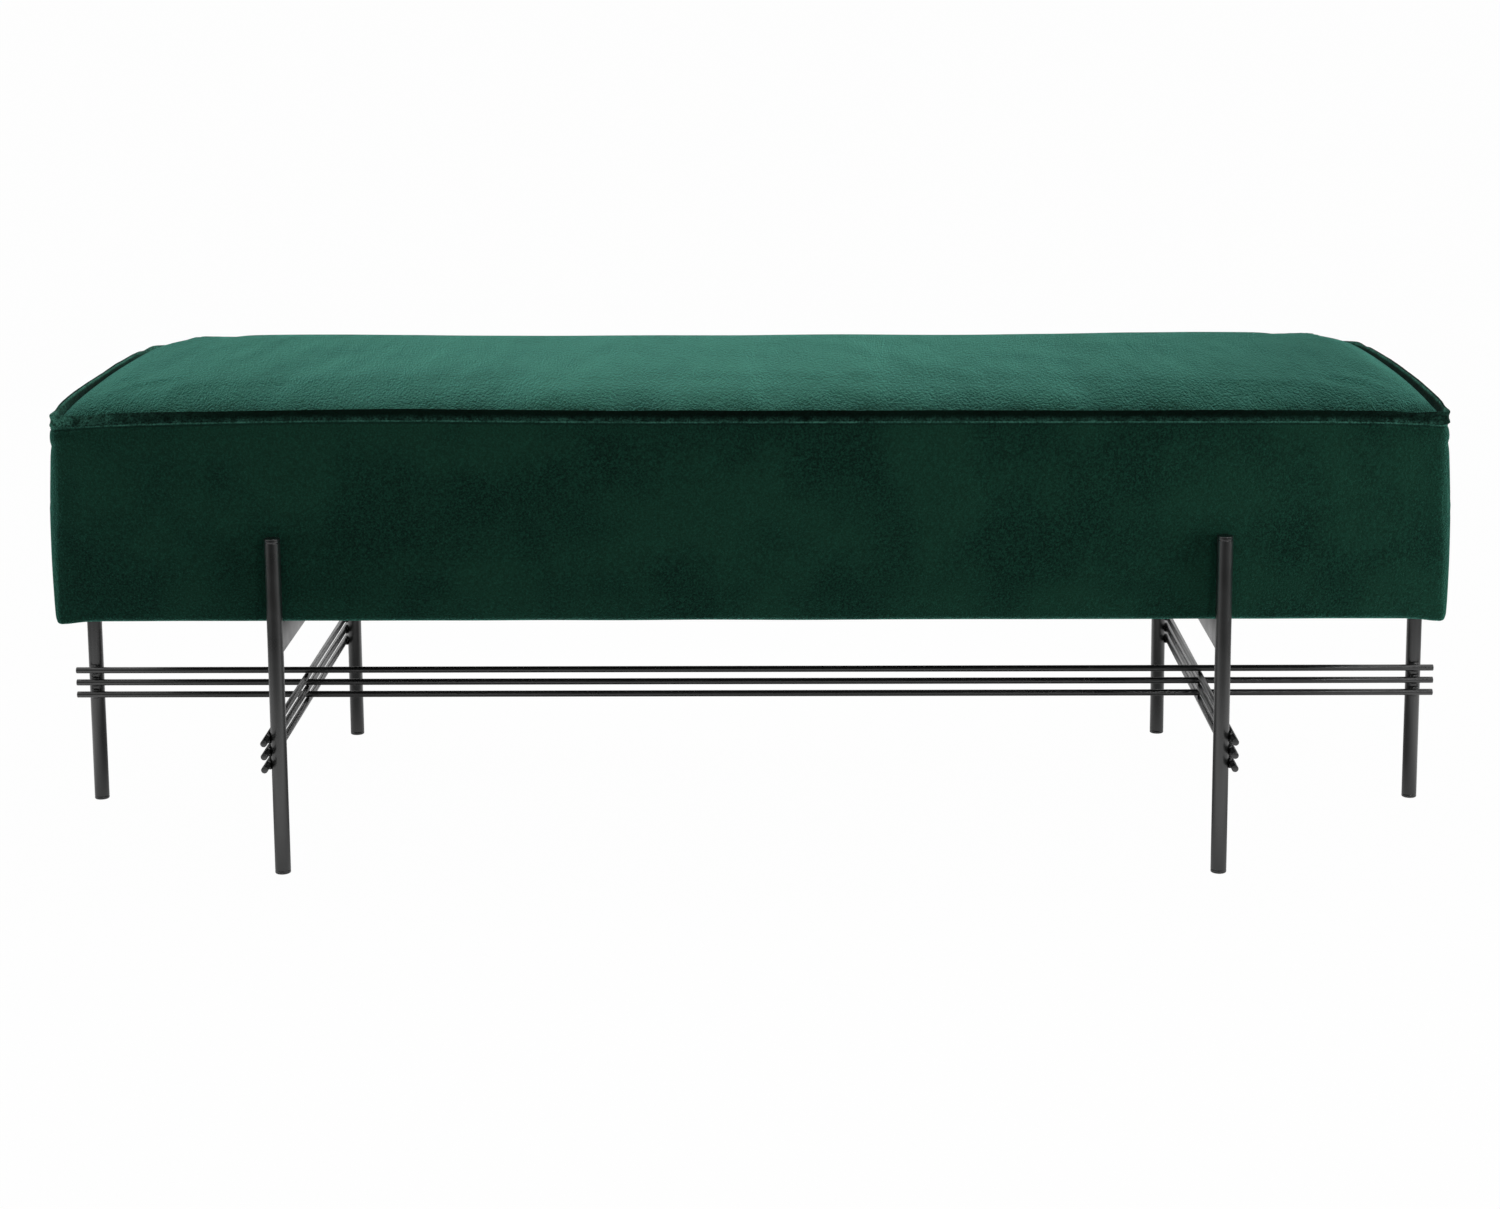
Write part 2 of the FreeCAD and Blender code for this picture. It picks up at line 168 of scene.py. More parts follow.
class PoufStage(bpy.types.PropertyGroup):
    """Camera, floor and lights."""

    camera_place: bpy.props.FloatVectorProperty(
        name="Camera place", description="Where the camera stands", default=(0.0438, -2.6128, 0.8418),
        subtype="TRANSLATION",
    )
    camera_turn: angle_property("Camera turn", "Turn to the left", 0.965)
    camera_tilt: angle_property("Camera tilt", "Tilt below the horizon", 9.078)
    camera_roll: angle_property("Camera roll", "Roll about the line of sight", -0.374)
    focal_pixels: number_property("Focal length", "Focal length in pixels of the photograph", 2800.0)
    centre_row: number_property("Centre row", "Row of the photograph that the lens points at", 364.5)
    ceiling_watts: power_property("Ceiling", "Power of the broad soft box under the ceiling", 5.0)
    overhead_watts: power_property("Overhead", "Power of the soft box over the seat", 3.9)
    key_watts: power_property("Key", "Power of the soft box above the camera, to the right", 12.5)
    side_watts: power_property("Side", "Power of the right soft box", 16.0)
    sky: number_property("Sky", "Strength of the room's even light", 0.16, subtype="FACTOR")
    paper_reach: length_property("Paper reach", "How far from the seat reflections see the floor white", 0.9)
    floor_glow: number_property(
        "Floor glow", "Share of the floor's white that no shadow darkens", 0.985, subtype="FACTOR"
    )


# Small tools for nodes and meshes


def add_node(tree, kind, inputs=None, **settings):
    """Adds a shader node with its settings, and with values, sockets or nodes in its inputs."""
    node = tree.nodes.new("ShaderNode" + kind)
    for name, value in settings.items():
        setattr(node, name, value)
    for name, value in (inputs or {}).items():
        if isinstance(value, bpy.types.Node):
            value = next(socket for socket in value.outputs if socket.enabled)
        if isinstance(value, bpy.types.NodeSocket):
            tree.links.new(value, node.inputs[name])
        else:
            node.inputs[name].default_value = value
    return node


def start_material(name):
    """A new material with an empty node tree."""
    material = bpy.data.materials.new(name)
    material.use_nodes = True
    material.node_tree.nodes.clear()
    return material, material.node_tree


def toned(colour, share):
    """A colour made darker or lighter by a share."""
    return tuple(value * share for value in colour[:3]) + (1.0,)


def material_named(name):
    """A finished material, made the first time that it is asked for."""
    if name in bpy.data.materials:
        return bpy.data.materials[name]
    material, tree = start_material(name)
    place = add_node(tree, "TexCoord").outputs["Object"]
    look = MATERIALS[name](tree, place, bpy.context.scene.pouf_colours)
    shader = add_node(tree, "BsdfPrincipled", look)
    add_node(tree, "OutputMaterial", {"Surface": shader})
    return material


def shaped(name, bm, material):
    """Turns a bmesh into an object of one material."""
    mesh = bpy.data.meshes.new(name)
    bm.to_mesh(mesh)
    bm.free()
    mesh.materials.append(material)
    shape = bpy.data.objects.new(name, mesh)
    bpy.context.scene.collection.objects.link(shape)
    return shape


def new_piece(name, bm, material, nodes=(), sharp_degrees=None):
    """Turns a bmesh into a finished piece on the frame that stands for its CAD nodes."""
    bmesh.ops.recalc_face_normals(bm, faces=bm.faces)
    piece = shaped(name, bm, material_named(material))
    piece.data.shade_smooth()
    if sharp_degrees:
        piece.data.set_sharp_from_angle(angle=math.radians(sharp_degrees))
    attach(piece, BODY)
    if nodes:
        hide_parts(*nodes)
    return piece


def mark_cloth(piece, name, share_at):
    """Marks each corner of the cloth with a share, for the velvet to read."""
    marks = piece.data.attributes.new(name, "FLOAT", "POINT")
    marks.data.foreach_set("value", [share_at(corner.co) for corner in piece.data.vertices])


def smooth_step(share):
    """A soft step from nought to one."""
    share = min(max(share, 0.0), 1.0)
    return share * share * (3 - 2 * share)


def hump(distance, width):
    """A share that falls softly from one as a distance grows past a width."""
    return math.exp(-((distance / width) ** 2))


def wander(x, y, z, size):
    """Steady noise between about minus one and one, with marks of that size."""
    return noise.noise(Vector((x, y, z)) / size)


def rounded(bm, parts, offset, segments, affect="EDGES", **settings):
    """Rounds edges, or corners of a flat outline, and gives what that made."""
    return bmesh.ops.bevel(
        bm, geom=parts, offset=offset, offset_type="OFFSET", segments=segments, profile=0.5, affect=affect,
        material=-1, **settings,
    )


def stand(bm, corners, place, direction=UP):
    """Turns corners from upright to a direction, and moves them to a place."""
    turn = UP.rotation_difference(direction).to_matrix().to_4x4()
    bmesh.ops.transform(bm, matrix=Matrix.Translation(place) @ turn, verts=corners)


def rectangle(bm, half, height):
    """Adds a flat rectangle of that half size at a height, and gives its corners."""
    corners = bmesh.ops.create_grid(bm, x_segments=1, y_segments=1, size=1.0)["verts"]
    bmesh.ops.scale(bm, verts=corners, vec=(half.x, half.y, 1.0))
    bmesh.ops.translate(bm, verts=corners, vec=(0.0, 0.0, height))
    return corners


class Outline:
    """A rounded rectangle round the seat, drawn in from its full size by an inset."""

    def __init__(self, half_x, half_y, radius, least_radius=1.5 * MM):
        self.half_x = half_x
        self.half_y = half_y
        self.radius = radius
        self.least_radius = least_radius

    def radius_at(self, inset):
        return max(self.radius - inset, self.least_radius)

    def core(self, inset):
        """Half sizes of the rectangle that the corner centres lie on."""
        radius = self.radius_at(inset)
        return Vector((self.half_x - inset - radius, self.half_y - inset - radius))

    def heading(self, point, inset):
        """The nearest point of the core and the direction from it, in the first quarter."""
        core = self.core(inset)
        near = Vector((min(abs(point.x), core.x), min(abs(point.y), core.y)))
        away = Vector((abs(point.x), abs(point.y))) - near
        return near, away.normalized()

    def moved(self, point, inset, new_inset, height):
        """Where a point of the ring at one inset lies at another inset and height."""
        near, away = self.heading(point, inset)
        core = self.core(inset)
        new_core = self.core(new_inset)
        radius = self.radius_at(new_inset)
        x = near.x * new_core.x / core.x + away.x * radius
        y = near.y * new_core.y / core.y + away.y * radius
        return Vector((math.copysign(x, point.x), math.copysign(y, point.y), height))

    def inset_of(self, point):
        """How far inside the full outline a point beside it lies."""
        near, _ = self.heading(point, 0.0)
        return self.radius - (Vector((abs(point.x), abs(point.y))) - near).length

    def outward(self, point):
        """The outward direction at a point beside the outline."""
        _, away = self.heading(point, 0.0)
        return Vector((math.copysign(away.x, point.x), math.copysign(away.y, point.y), 0.0))

    def corner_distance(self, point):
        """How far a point of the outline is from the nearest upright corner, along the sides."""
        core = self.core(0.0)
        return max(core.x - abs(point.x), 0.0) + max(core.y - abs(point.y), 0.0)

    def loop(self, bm, inset, height, spacing, corner_steps=10):
        """Adds the outline's closed loop of edges at an inset and a height."""
        half = Vector((self.half_x - inset, self.half_y - inset))
        radius = self.radius_at(inset)
        rounded(bm, rectangle(bm, half, height), radius, corner_steps, "VERTICES")
        for side in [edge for edge in bm.edges if edge.calc_length() > 2 * radius]:
            bmesh.ops.subdivide_edges(bm, edges=[side], cuts=int(side.calc_length() / spacing))
        return bm.edges[:]


def add_ring(bm, loop, place):
    """Extrudes a loop of edges, puts each new corner where place says, and gives the new loop."""
    made = bmesh.ops.extrude_edge_only(bm, edges=loop)["geom"]
    corners = {part for part in made if isinstance(part, bmesh.types.BMVert)}
    for corner in corners:
        corner.co = place(corner.co)
    return [
        part for part in made
        if isinstance(part, bmesh.types.BMEdge) and corners.issuperset(part.verts)
    ]


def sweep(bm, outline, profile, spacing, closed=False):
    """A ring of cloth whose section is a list of (inset, height) points."""
    inset, height = profile[0]
    first = outline.loop(bm, inset, height, spacing)
    bmesh.ops.delete(bm, geom=bm.faces[:], context="FACES_ONLY")
    loop = first
    for new_inset, new_height in profile[1:]:
        loop = add_ring(bm, loop, lambda point: outline.moved(point, inset, new_inset, new_height))
        inset = new_inset
    if closed:
        bmesh.ops.bridge_loops(bm, edges=first + loop)
    put_in_order(bm)


def put_in_order(bm):
    """Sorts edges and faces by their corners.

    An extrusion adds them in an order that varies from run to run, and cloth swells a little differently
    for each order.
    """
    bm.verts.index_update()
    count = len(bm.verts)

    def place(part):
        number = 0
        for index in sorted(corner.index for corner in part.verts)[:3]:
            number = number * count + index
        return number

    bm.edges.sort(key=place)
    bm.faces.sort(key=place)


def turned(bm, profile, rounding, steps, place, direction=UP):
    """Turns (radius, height) corners about an axis through place, with rounded corners off the axis."""
    corners = [bm.verts.new((radius, 0.0, height)) for radius, height in profile]
    for pair in zip(corners, corners[1:]):
        bm.edges.new(pair)
    if profile[0][0] > 0:
        bm.edges.new((corners[-1], corners[0]))
    off_axis = [corner for corner in corners if len(corner.link_edges) == 2]
    made = rounded(bm, off_axis, rounding, 3, "VERTICES", clamp_overlap=True)
    wire = {corner for corner in corners if corner.is_valid} | set(made["verts"])
    lines = {line for corner in wire for line in corner.link_edges}
    spun = bmesh.ops.spin(
        bm, geom=list(wire) + list(lines), cent=(0, 0, 0), axis=(0, 0, 1), dvec=(0, 0, 0),
        angle=math.tau, steps=steps, use_merge=True, use_duplicate=False,
    )
    shape = {corner for line in lines for corner in line.verts} | wire
    shape |= {part for part in spun["geom_last"] if isinstance(part, bmesh.types.BMVert)}
    reached = flood(shape)
    bmesh.ops.remove_doubles(bm, verts=list(reached), dist=0.01 * MM)
    reached = flood({corner for corner in reached if corner.is_valid})
    stand(bm, list(reached), place, direction)


def flood(corners):
    """Every corner joined to these by edges."""
    reached = set(corners)
    waiting = list(corners)
    while waiting:
        for line in waiting.pop().link_edges:
            for corner in line.verts:
                if corner not in reached:
                    reached.add(corner)
                    waiting.append(corner)
    return reached


def inflate(piece, pinned, cap):
    """Lets cloth swell off its padding from its pinned corners, no corner further than cap."""
    last_frame = 20
    group = piece.vertex_groups.new(name="pinned")
    group.add(pinned, 1.0, "REPLACE")
    before = [corner.co.copy() for corner in piece.data.vertices]
    modifier = piece.modifiers.new("Cloth", "CLOTH")
    cloth = modifier.settings
    cloth.quality = 5
    cloth.mass = 0.3
    cloth.tension_stiffness = 12.0
    cloth.compression_stiffness = 12.0
    cloth.shear_stiffness = 5.0
    cloth.bending_stiffness = 0.4
    cloth.use_pressure = True
    cloth.uniform_pressure_force = 4.0
    cloth.effector_weights.gravity = 0.0
    cloth.vertex_group_mass = "pinned"
    modifier.point_cache.frame_start = 1
    modifier.point_cache.frame_end = last_frame
    scene = bpy.context.scene
    for frame_number in range(1, last_frame + 1):
        scene.frame_set(frame_number)
    swollen = piece.evaluated_get(bpy.context.evaluated_depsgraph_get())
    after = [corner.co.copy() for corner in swollen.to_mesh().vertices]
    swollen.to_mesh_clear()
    piece.modifiers.remove(modifier)
    piece.vertex_groups.remove(group)
    scene.frame_set(1)
    for corner, start, end in zip(piece.data.vertices, before, after):
        move = end - start
        if move.length > cap:
            move *= cap / move.length
        corner.co = start + move


def give_thickness(piece, thickness):
    """Makes a sheet of cloth a closed shell, with its face where the sheet was."""
    bm = bmesh.new()
    bm.from_mesh(piece.data)
    bmesh.ops.recalc_face_normals(bm, faces=bm.faces)
    bmesh.ops.solidify(bm, geom=bm.faces[:], thickness=thickness)
    bmesh.ops.recalc_face_normals(bm, faces=bm.faces)
    bm.to_mesh(piece.data)
    bm.free()
    piece.data.shade_smooth()


# Materials


def surface(tree, share, tones, roughness, relief=()):
    """A shader's inputs: two tones mixed by a share, a roughness, and a (pattern, depth) of relief.

    The roughness is a number or a (pattern, least, most).
    """
    if isinstance(roughness, tuple):
        pattern, least, most = roughness
        roughness = add_node(tree, "MapRange", {
            "Value": pattern, "From Min": 0.3, "From Max": 0.7, "To Min": least, "To Max": most,
        })
    mixed = add_node(tree, "Mix", {"Factor": share, "A": tones[0], "B": tones[1]}, data_type="RGBA")
    look = {"Base Color": mixed, "Roughness": roughness}
    if relief:
        look["Normal"] = add_node(tree, "Bump", {"Height": relief[0], "Distance": relief[1]})
    return look


def velvet(tree, place, colours, shade=1.0, sheen=1.0, drawn_out=1.0):
    """Velvet with that much of its colour and sheen, its grain drawn out to the front so many times; less
    colour paints shade.
    """
    laid = add_node(tree, "Mapping", {"Vector": place, "Scale": (1.0, 1 / drawn_out, 1.0)})
    # The pile is finer than a pixel, so its grain is drawn about three times too coarse
    nap, tufts, pile = [
        add_node(tree, "TexNoise", {"Vector": laid, "Scale": 1 / size, "Detail": 2.0, "Roughness": roughness})
        for size, roughness in ((80 * MM, 0.5), (9 * MM, 0.6), (1.9 * MM, 0.9))
    ]
    brushed = add_node(tree, "MapRange", {"Value": nap, "From Min": 0.38, "From Max": 0.62})
    tips = add_node(tree, "MapRange", {"Value": pile, "From Min": 0.4, "From Max": 0.8})
    fibres = add_node(tree, "MapRange", {
        "Value": pile, "From Min": 0.38, "From Max": 0.62, "To Min": 0.2, "To Max": 1.5,
    })
    # The parted mark brings in the parted pile's lighter colour, partly a painted highlight where folds and
    # ridges catch the light
    parted_and_highlight_mark = add_node(tree, "Attribute", attribute_name="parted_and_highlight").outputs["Fac"]
    parted_and_highlight = add_node(tree, "Math", {0: parted_and_highlight_mark, 1: fibres}, operation="MULTIPLY", use_clamp=True)
    # The sunk mark paints shade into the stitched groove, as a darker copy of the deep pile
    sunk = add_node(tree, "Attribute", attribute_name="sunk").outputs["Fac"]
    colour = toned(colours.pile_deep, shade)
    for share, laid_over in (
        (brushed, toned(colours.pile_lifted, shade)),
        (tips, toned(colours.pile_tips, shade)),
        (parted_and_highlight, toned(colours.pile_parted_and_highlight, 1.0)),
        (sunk, toned(colours.pile_deep, 0.3)),
    ):
        mixed = {"Factor": share, "A": colour, "B": laid_over}
        colour = add_node(tree, "Mix", mixed, data_type="RGBA")
    swept = add_node(tree, "Bump", {"Height": nap, "Distance": 4.0 * MM * drawn_out**1.5})
    clumped = add_node(tree, "Bump", {"Height": tufts, "Distance": 0.8 * MM, "Normal": swept})
    return {
        "Base Color": colour,
        "Roughness": 0.9,
        "Specular IOR Level": 0.06,
        "Sheen Weight": sheen,
        "Sheen Roughness": 0.42,
        "Sheen Tint": colours.pile_sheen[:],
        "Normal": add_node(tree, "Bump", {
            "Height": pile, "Distance": 1.2 * MM * drawn_out, "Normal": clumped,
        }),
    }


def cut_pile_velvet(tree, place, colours):
    # Cut-pile velvet: fine upright fibres, near black face on, bright along the cloth, in brushed patches
    return velvet(tree, place, colours)


def laid_pile_velvet(tree, place, colours):
    # The same velvet on top: sitting has laid the pile to the front, which draws its grain out that way
    return velvet(tree, place, colours, drawn_out=3.5)


def pressed_velvet_painted_shade(tree, place, colours):
    # The same velvet in the sewn fin: its pile is pressed flat, without the sheen, and its colour is cut to a
    # fifth as painted shade on the fin's shadowed faces
    return velvet(tree, place, colours, shade=0.2, sheen=0.03)


def satin_powder_coat(tree, place, colours):
    # Satin polyester powder coat on steel: near black, with a soft gloss and a faint orange peel
    cloud = add_node(tree, "TexNoise", {"Vector": place, "Scale": 1 / (25 * MM)})
    peel = add_node(tree, "TexNoise", {"Vector": place, "Scale": 1 / (1.1 * MM), "Detail": 1.0})
    share = add_node(tree, "MapRange", {"Value": cloud, "From Min": 0.35, "From Max": 0.65})
    tones = (toned(colours.powder_coat, 1.0), toned(colours.powder_coat, 1.4))
    look = surface(tree, share, tones, (cloud, 0.26, 0.34), (peel, 0.02 * MM))
    return look | {"IOR": 1.5, "Specular IOR Level": 1.0}


def moulded_polyethylene(tree, place, colours):
    # Moulded polyethylene: black and waxy, softer in gloss than the coat, with a fine spark-eroded texture
    texture = add_node(tree, "TexNoise", {"Vector": place, "Scale": 1 / (0.5 * MM)})
    tones = (toned(colours.plug, 1.0), toned(colours.plug, 1.4))
    look = surface(tree, texture, tones, (texture, 0.22, 0.32), (texture, 0.015 * MM))
    return look | {"IOR": 1.51, "Specular IOR Level": 0.9}


def zinc_plated_steel(tree, place, colours):
    # Bright zinc on steel: pale blueish metal, cloudy in its gloss
    cloud = add_node(tree, "TexNoise", {"Vector": place, "Scale": 1 / (1.5 * MM), "Detail": 4.0})
    tones = (toned(colours.zinc, 1.0), toned(colours.zinc, 0.8))
    return surface(tree, cloud, tones, (cloud, 0.28, 0.45)) | {"Metallic": 1.0}


def planed_pine(tree, place, colours, squeeze):
    """Planed pine whose grain runs along the side that is squeezed most."""
    along = add_node(tree, "Mapping", {"Vector": place, "Scale": squeeze})
    drift = add_node(tree, "TexNoise", {"Vector": along, "Scale": 1 / (30 * MM), "Detail": 3.0})
    rings = add_node(tree, "Math", {0: drift, 1: 12.0}, operation="MULTIPLY")
    late = add_node(tree, "Math", {0: rings, 1: 1.0}, operation="PINGPONG")
    fibres = add_node(tree, "TexNoise", {"Vector": along, "Scale": 1 / (0.8 * MM)})
    tones = (toned(colours.pine, 1.0), toned(colours.pine_late, 1.0))
    return surface(tree, late, tones, (fibres, 0.55, 0.75), (fibres, 0.1 * MM))


def planed_pine_x(tree, place, colours):
    # Planed pine: pale early wood and darker late wood in bands along the board, with fine raised fibres
    return planed_pine(tree, place, colours, (0.06, 1.0, 1.0))


def planed_pine_y(tree, place, colours):
    # The same pine in the boards that run from front to rear
    return planed_pine(tree, place, colours, (1.0, 0.06, 1.0))


def birch_plywood(tree, place, colours):
    # Birch plywood: a pale rotary-cut face with long veins, and dark glue lines 1.5 mm apart on its edges
    along = add_node(tree, "Mapping", {"Vector": place, "Scale": (0.1, 1.0, 1.0)})
    veins = add_node(tree, "TexNoise", {"Vector": along, "Scale": 1 / (12 * MM), "Detail": 4.0})
    height = add_node(tree, "SeparateXYZ", {"Vector": place}).outputs["Z"]
    plies = add_node(tree, "Math", {0: height, 1: 1.5 * MM}, operation="PINGPONG")
    glue = add_node(tree, "MapRange", {"Value": plies, "From Min": 1.2 * MM, "From Max": 1.5 * MM})
    share = add_node(tree, "Math", {0: veins, 1: glue}, operation="MAXIMUM")
    tones = (toned(colours.birch, 1.0), toned(colours.birch, 0.6))
    return surface(tree, share, tones, 0.6, (veins, 0.1 * MM))


def cut_foam(tree, place, colours):
    # Cut polyether foam: matt cream, with open cells about 1 mm across
    cells = add_node(tree, "TexVoronoi", {"Vector": place, "Scale": 1 / (1.2 * MM)})
    tones = (toned(colours.foam, 1.0), toned(colours.foam, 0.75))
    return surface(tree, cells, tones, 0.95, (cells, 0.4 * MM))


def polyester_wadding(tree, place, colours):
    # Bonded polyester wadding: white, matt, with crossing fibres and soft tufts
    fibres = add_node(tree, "TexNoise", {
        "Vector": place, "Scale": 1 / (3 * MM), "Detail": 5.0, "Roughness": 0.7,
    })
    tones = (toned(colours.wadding, 1.0), toned(colours.wadding, 0.85))
    return surface(tree, fibres, tones, 1.0, (fibres, 1.0 * MM))


def spunbonded_cloth(tree, place, colours):
    # Spunbonded polypropylene: thin matt black cloth with a grid of bonded dots 1.5 mm apart
    dots = add_node(tree, "TexVoronoi", {"Vector": place, "Scale": 1 / (1.5 * MM), "Randomness": 0.15})
    tones = (toned(colours.dust_cloth, 1.0), toned(colours.dust_cloth, 2.2))
    return surface(tree, dots, tones, 0.85, (dots, 0.15 * MM))


MATERIALS = {
    recipe.__name__: recipe
    for recipe in (
        cut_pile_velvet, laid_pile_velvet, pressed_velvet_painted_shade, satin_powder_coat, moulded_polyethylene,
        zinc_plated_steel, planed_pine_x, planed_pine_y, birch_plywood, cut_foam, polyester_wadding,
        spunbonded_cloth,
    )
}


# Velvet seat

# How far from an upright corner the cloth is gathered
GATHER_REACH = 45 * MM


def seat_outline():
    """The outline of the side band at its fullest."""
    return Outline(HALF_LENGTH, HALF_DEPTH, bpy.context.scene.pouf_seat.corner_radius)


def side_inset(height):
    """How far the side band is drawn in from its fullest line, at a height."""
    belly = SEAT_BOTTOM + 0.55 * (SEAM_HEIGHT - SEAT_BOTTOM)
    in_at_seam, in_at_foot = 1.0 * MM, 3.0 * MM
    if height > belly:
        return in_at_seam * ((height - belly) / (SEAM_HEIGHT - belly)) ** 2
    return in_at_foot * ((belly - height) / (belly - SEAT_BOTTOM)) ** 2


def settle(seat, corners):
    """Draws the seat's ends in towards the top, and lets the seam rise and dip as padding does."""
    outline = seat_outline()
    rise_place, rise_width = -0.54 * HALF_LENGTH, 0.28 * HALF_LENGTH
    # Shares of the seam's wander
    right_dip, corner_dip = 0.4, 1.6
    for corner in corners:
        up = min(max((corner.co.z - SEAT_BOTTOM) / (SEAM_HEIGHT - SEAT_BOTTOM), 0.0), 1.0)
        to_corner = min(abs(corner.co.y) / HALF_DEPTH, 1.0)
        rise = hump(corner.co.x - rise_place, rise_width)
        dip = right_dip * smooth_step(corner.co.x / (0.8 * HALF_LENGTH))
        above = smooth_step((corner.co.z - SEAM_HEIGHT) / FIN_HEIGHT)
        gathered = math.exp(-outline.corner_distance(corner.co) / GATHER_REACH)
        dip += corner_dip * (1 - 0.15 * above) * gathered
        corner.co.z += seat.seam_wander * up * (rise * smooth_step(-corner.co.y / HALF_DEPTH) - dip)
        corner.co.x *= 1 - (seat.end_draw * up**1.5 * to_corner**2 + seat.end_gap) / HALF_LENGTH


def pucker(point, seam_distance, depth, pitch):
    """Small folds that fade away from a seam, deeper near the upright corners."""
    corner_reach, seam_reach = 35 * MM, 9 * MM
    near_corner = math.exp(-seat_outline().corner_distance(point) / corner_reach)
    fade = math.exp(-seam_distance / seam_reach)
    fine = wander(point.x, point.y, 0.3 * point.z, pitch)
    broad = wander(point.x, point.y, 1.0, 2.7 * pitch)
    return depth * (1 + 2.2 * near_corner) * fade * (fine + 0.6 * broad)


class POUF_OT_side_band(bpy.types.Operator):
    """Velvet band round the seat, turned under at the bottom"""

    bl_idname = "pouf.side_band"
    bl_label = "Side band"

    def execute(self, context):
        seat = context.scene.pouf_seat
        outline = seat_outline()
        bm = bmesh.new()
        sweep(bm, outline, self.profile(seat), seat.cell)
        piece = new_piece("velvet_side_band", bm, "cut_pile_velvet", [
            "cover_band", "side_foam_front", "side_foam_rear", "side_foam_left", "side_foam_right",
        ])
        sewn = 4 * MM
        pinned = [
            corner.index for corner in piece.data.vertices
            if corner.co.z > SEAM_HEIGHT - sewn or corner.co.z < SEAT_BOTTOM + sewn
        ]
        inflate(piece, pinned, seat.swell)
        for corner in piece.data.vertices:
            self.sculpt(seat, outline, corner)
        # The ridge under the seam gets parted pile with a painted highlight
        mark_cloth(piece, "parted_and_highlight", lambda point: self.ridge(outline, point))
        # The groove under the ridge gets painted shade
        mark_cloth(piece, "sunk", self.groove)
        settle(seat, piece.data.vertices)
        give_thickness(piece, seat.cloth)
        return {"FINISHED"}

    @staticmethod
    def profile(seat):
        """The band's section from the seam down, round the lower edge and under the frame."""
        # Shares of the way in under the fin, and millimetres below the seam
        ridge_rows = (
            (1.0, 0.0), (0.55, 0.25), (0.15, 0.55), (0.0, 0.95), (0.02, 1.45), (0.2, 2.2), (0.15, 3.0),
            (0.03, 4.0),
        )
        under_fin = seat.fin_root - side_inset(SEAM_HEIGHT) + 0.6 * MM
        points = [
            (side_inset(SEAM_HEIGHT) + under_fin * share, SEAM_HEIGHT - below * MM)
            for share, below in ridge_rows
        ]
        start_in = seat.swell * 0.4
        easing = 25 * MM
        side_bottom = SEAT_BOTTOM + seat.lower_radius
        height = SEAM_HEIGHT - 5.5 * MM
        step = seat.edge_cell
        # Rows of cloth widen from the seam down, and close up again above the lower edge
        while height > side_bottom + step / 2:
            above = smooth_step((SEAM_HEIGHT - height) / easing)
            below = smooth_step((height - side_bottom) / easing)
            points.append((side_inset(height) + start_in * above * below, height))
            step = min(step * 1.15, seat.cell)
            if height - side_bottom < 8 * step:
                step = max(seat.edge_cell, (height - side_bottom) / 6)
            height -= step
        turn_steps = 6
        foot_in = side_inset(side_bottom)
        for turn in range(turn_steps + 1):
            angle = turn / turn_steps * math.pi / 2
            points.append((
                foot_in + seat.lower_radius * (1 - math.cos(angle)),
                side_bottom - seat.lower_radius * math.sin(angle),
            ))
        hem_steps = 6
        for step in range(1, hem_steps + 1):
            points.append((foot_in + seat.lower_radius + seat.hem * step / hem_steps, SEAT_BOTTOM))
        return points

    @staticmethod
    def ridge(outline, point):
        """Parted pile with a painted highlight along the ridge under the seam, in broken lengths and in
        flecks near the corners.
        """
        below = SEAM_HEIGHT - point.z
        broken = 0.65 + 0.8 * wander(point.x, point.y, 9.0, 14 * MM)
        line = max(broken, 0.0) * hump(below - 0.9 * MM, 0.75 * MM)
        gathered = math.exp(-outline.corner_distance(point) / GATHER_REACH - (below / (5 * MM)) ** 2)
        return max(line, 0.8 * gathered * max(wander(*point, 3.5 * MM), 0.0))

    @staticmethod
    def groove(point):
        """Painted shade in the stitched groove under the ridge."""
        return 0.75 * hump(SEAM_HEIGHT - point.z - 2.4 * MM, 0.9 * MM)

    @staticmethod
    def sculpt(seat, outline, corner):
        """Puckers under the seam, folds round the upright corners and corners that hang a little."""
        point = corner.co
        away = outline.outward(point)
        below_seam = max(SEAM_HEIGHT - point.z, 0.0)
        above_foot = max(point.z - SEAT_BOTTOM, 0.0)
        from_corner = outline.corner_distance(point)
        hollows = 0.35 * MM * wander(*point, 120 * MM)
        push = pucker(point, below_seam, seat.pucker_depth, seat.pucker_pitch) + hollows
        crease = 1.0 * MM * hump(below_seam - 19 * MM, 3.2 * MM)
        shoulder = 0.7 * MM * hump(below_seam - 10 * MM, 6 * MM)
        drawn_in = 1.6 * MM
        push += hump(from_corner, 26 * MM) * (shoulder - crease - drawn_in)
        on_side = smooth_step(above_foot / (4 * MM))
        fullest = 0.8 * MM
        corner.co += away * min(push, fullest) * on_side
        drop = seat.corner_drop * hump(from_corner, 16 * MM)
        drop *= 1 - smooth_step(above_foot / (20 * MM))
        hem_fade = 40 * MM
        under = smooth_step((HALF_LENGTH - abs(point.x)) / hem_fade)
        under *= smooth_step((HALF_DEPTH - abs(point.y)) / hem_fade)
        corner.co.z -= drop * (1 - under)
        corner.co.z += 0.4 * MM * wander(point.x, point.y, 0.0, 90 * MM) * (1 - on_side)


def fin_inset(seat, across, up):
    """The inset of a place in the fin's section, from shares of its thickness and height."""
    return seat.fin_root + seat.fin_thickness * across - seat.fin_lean * up


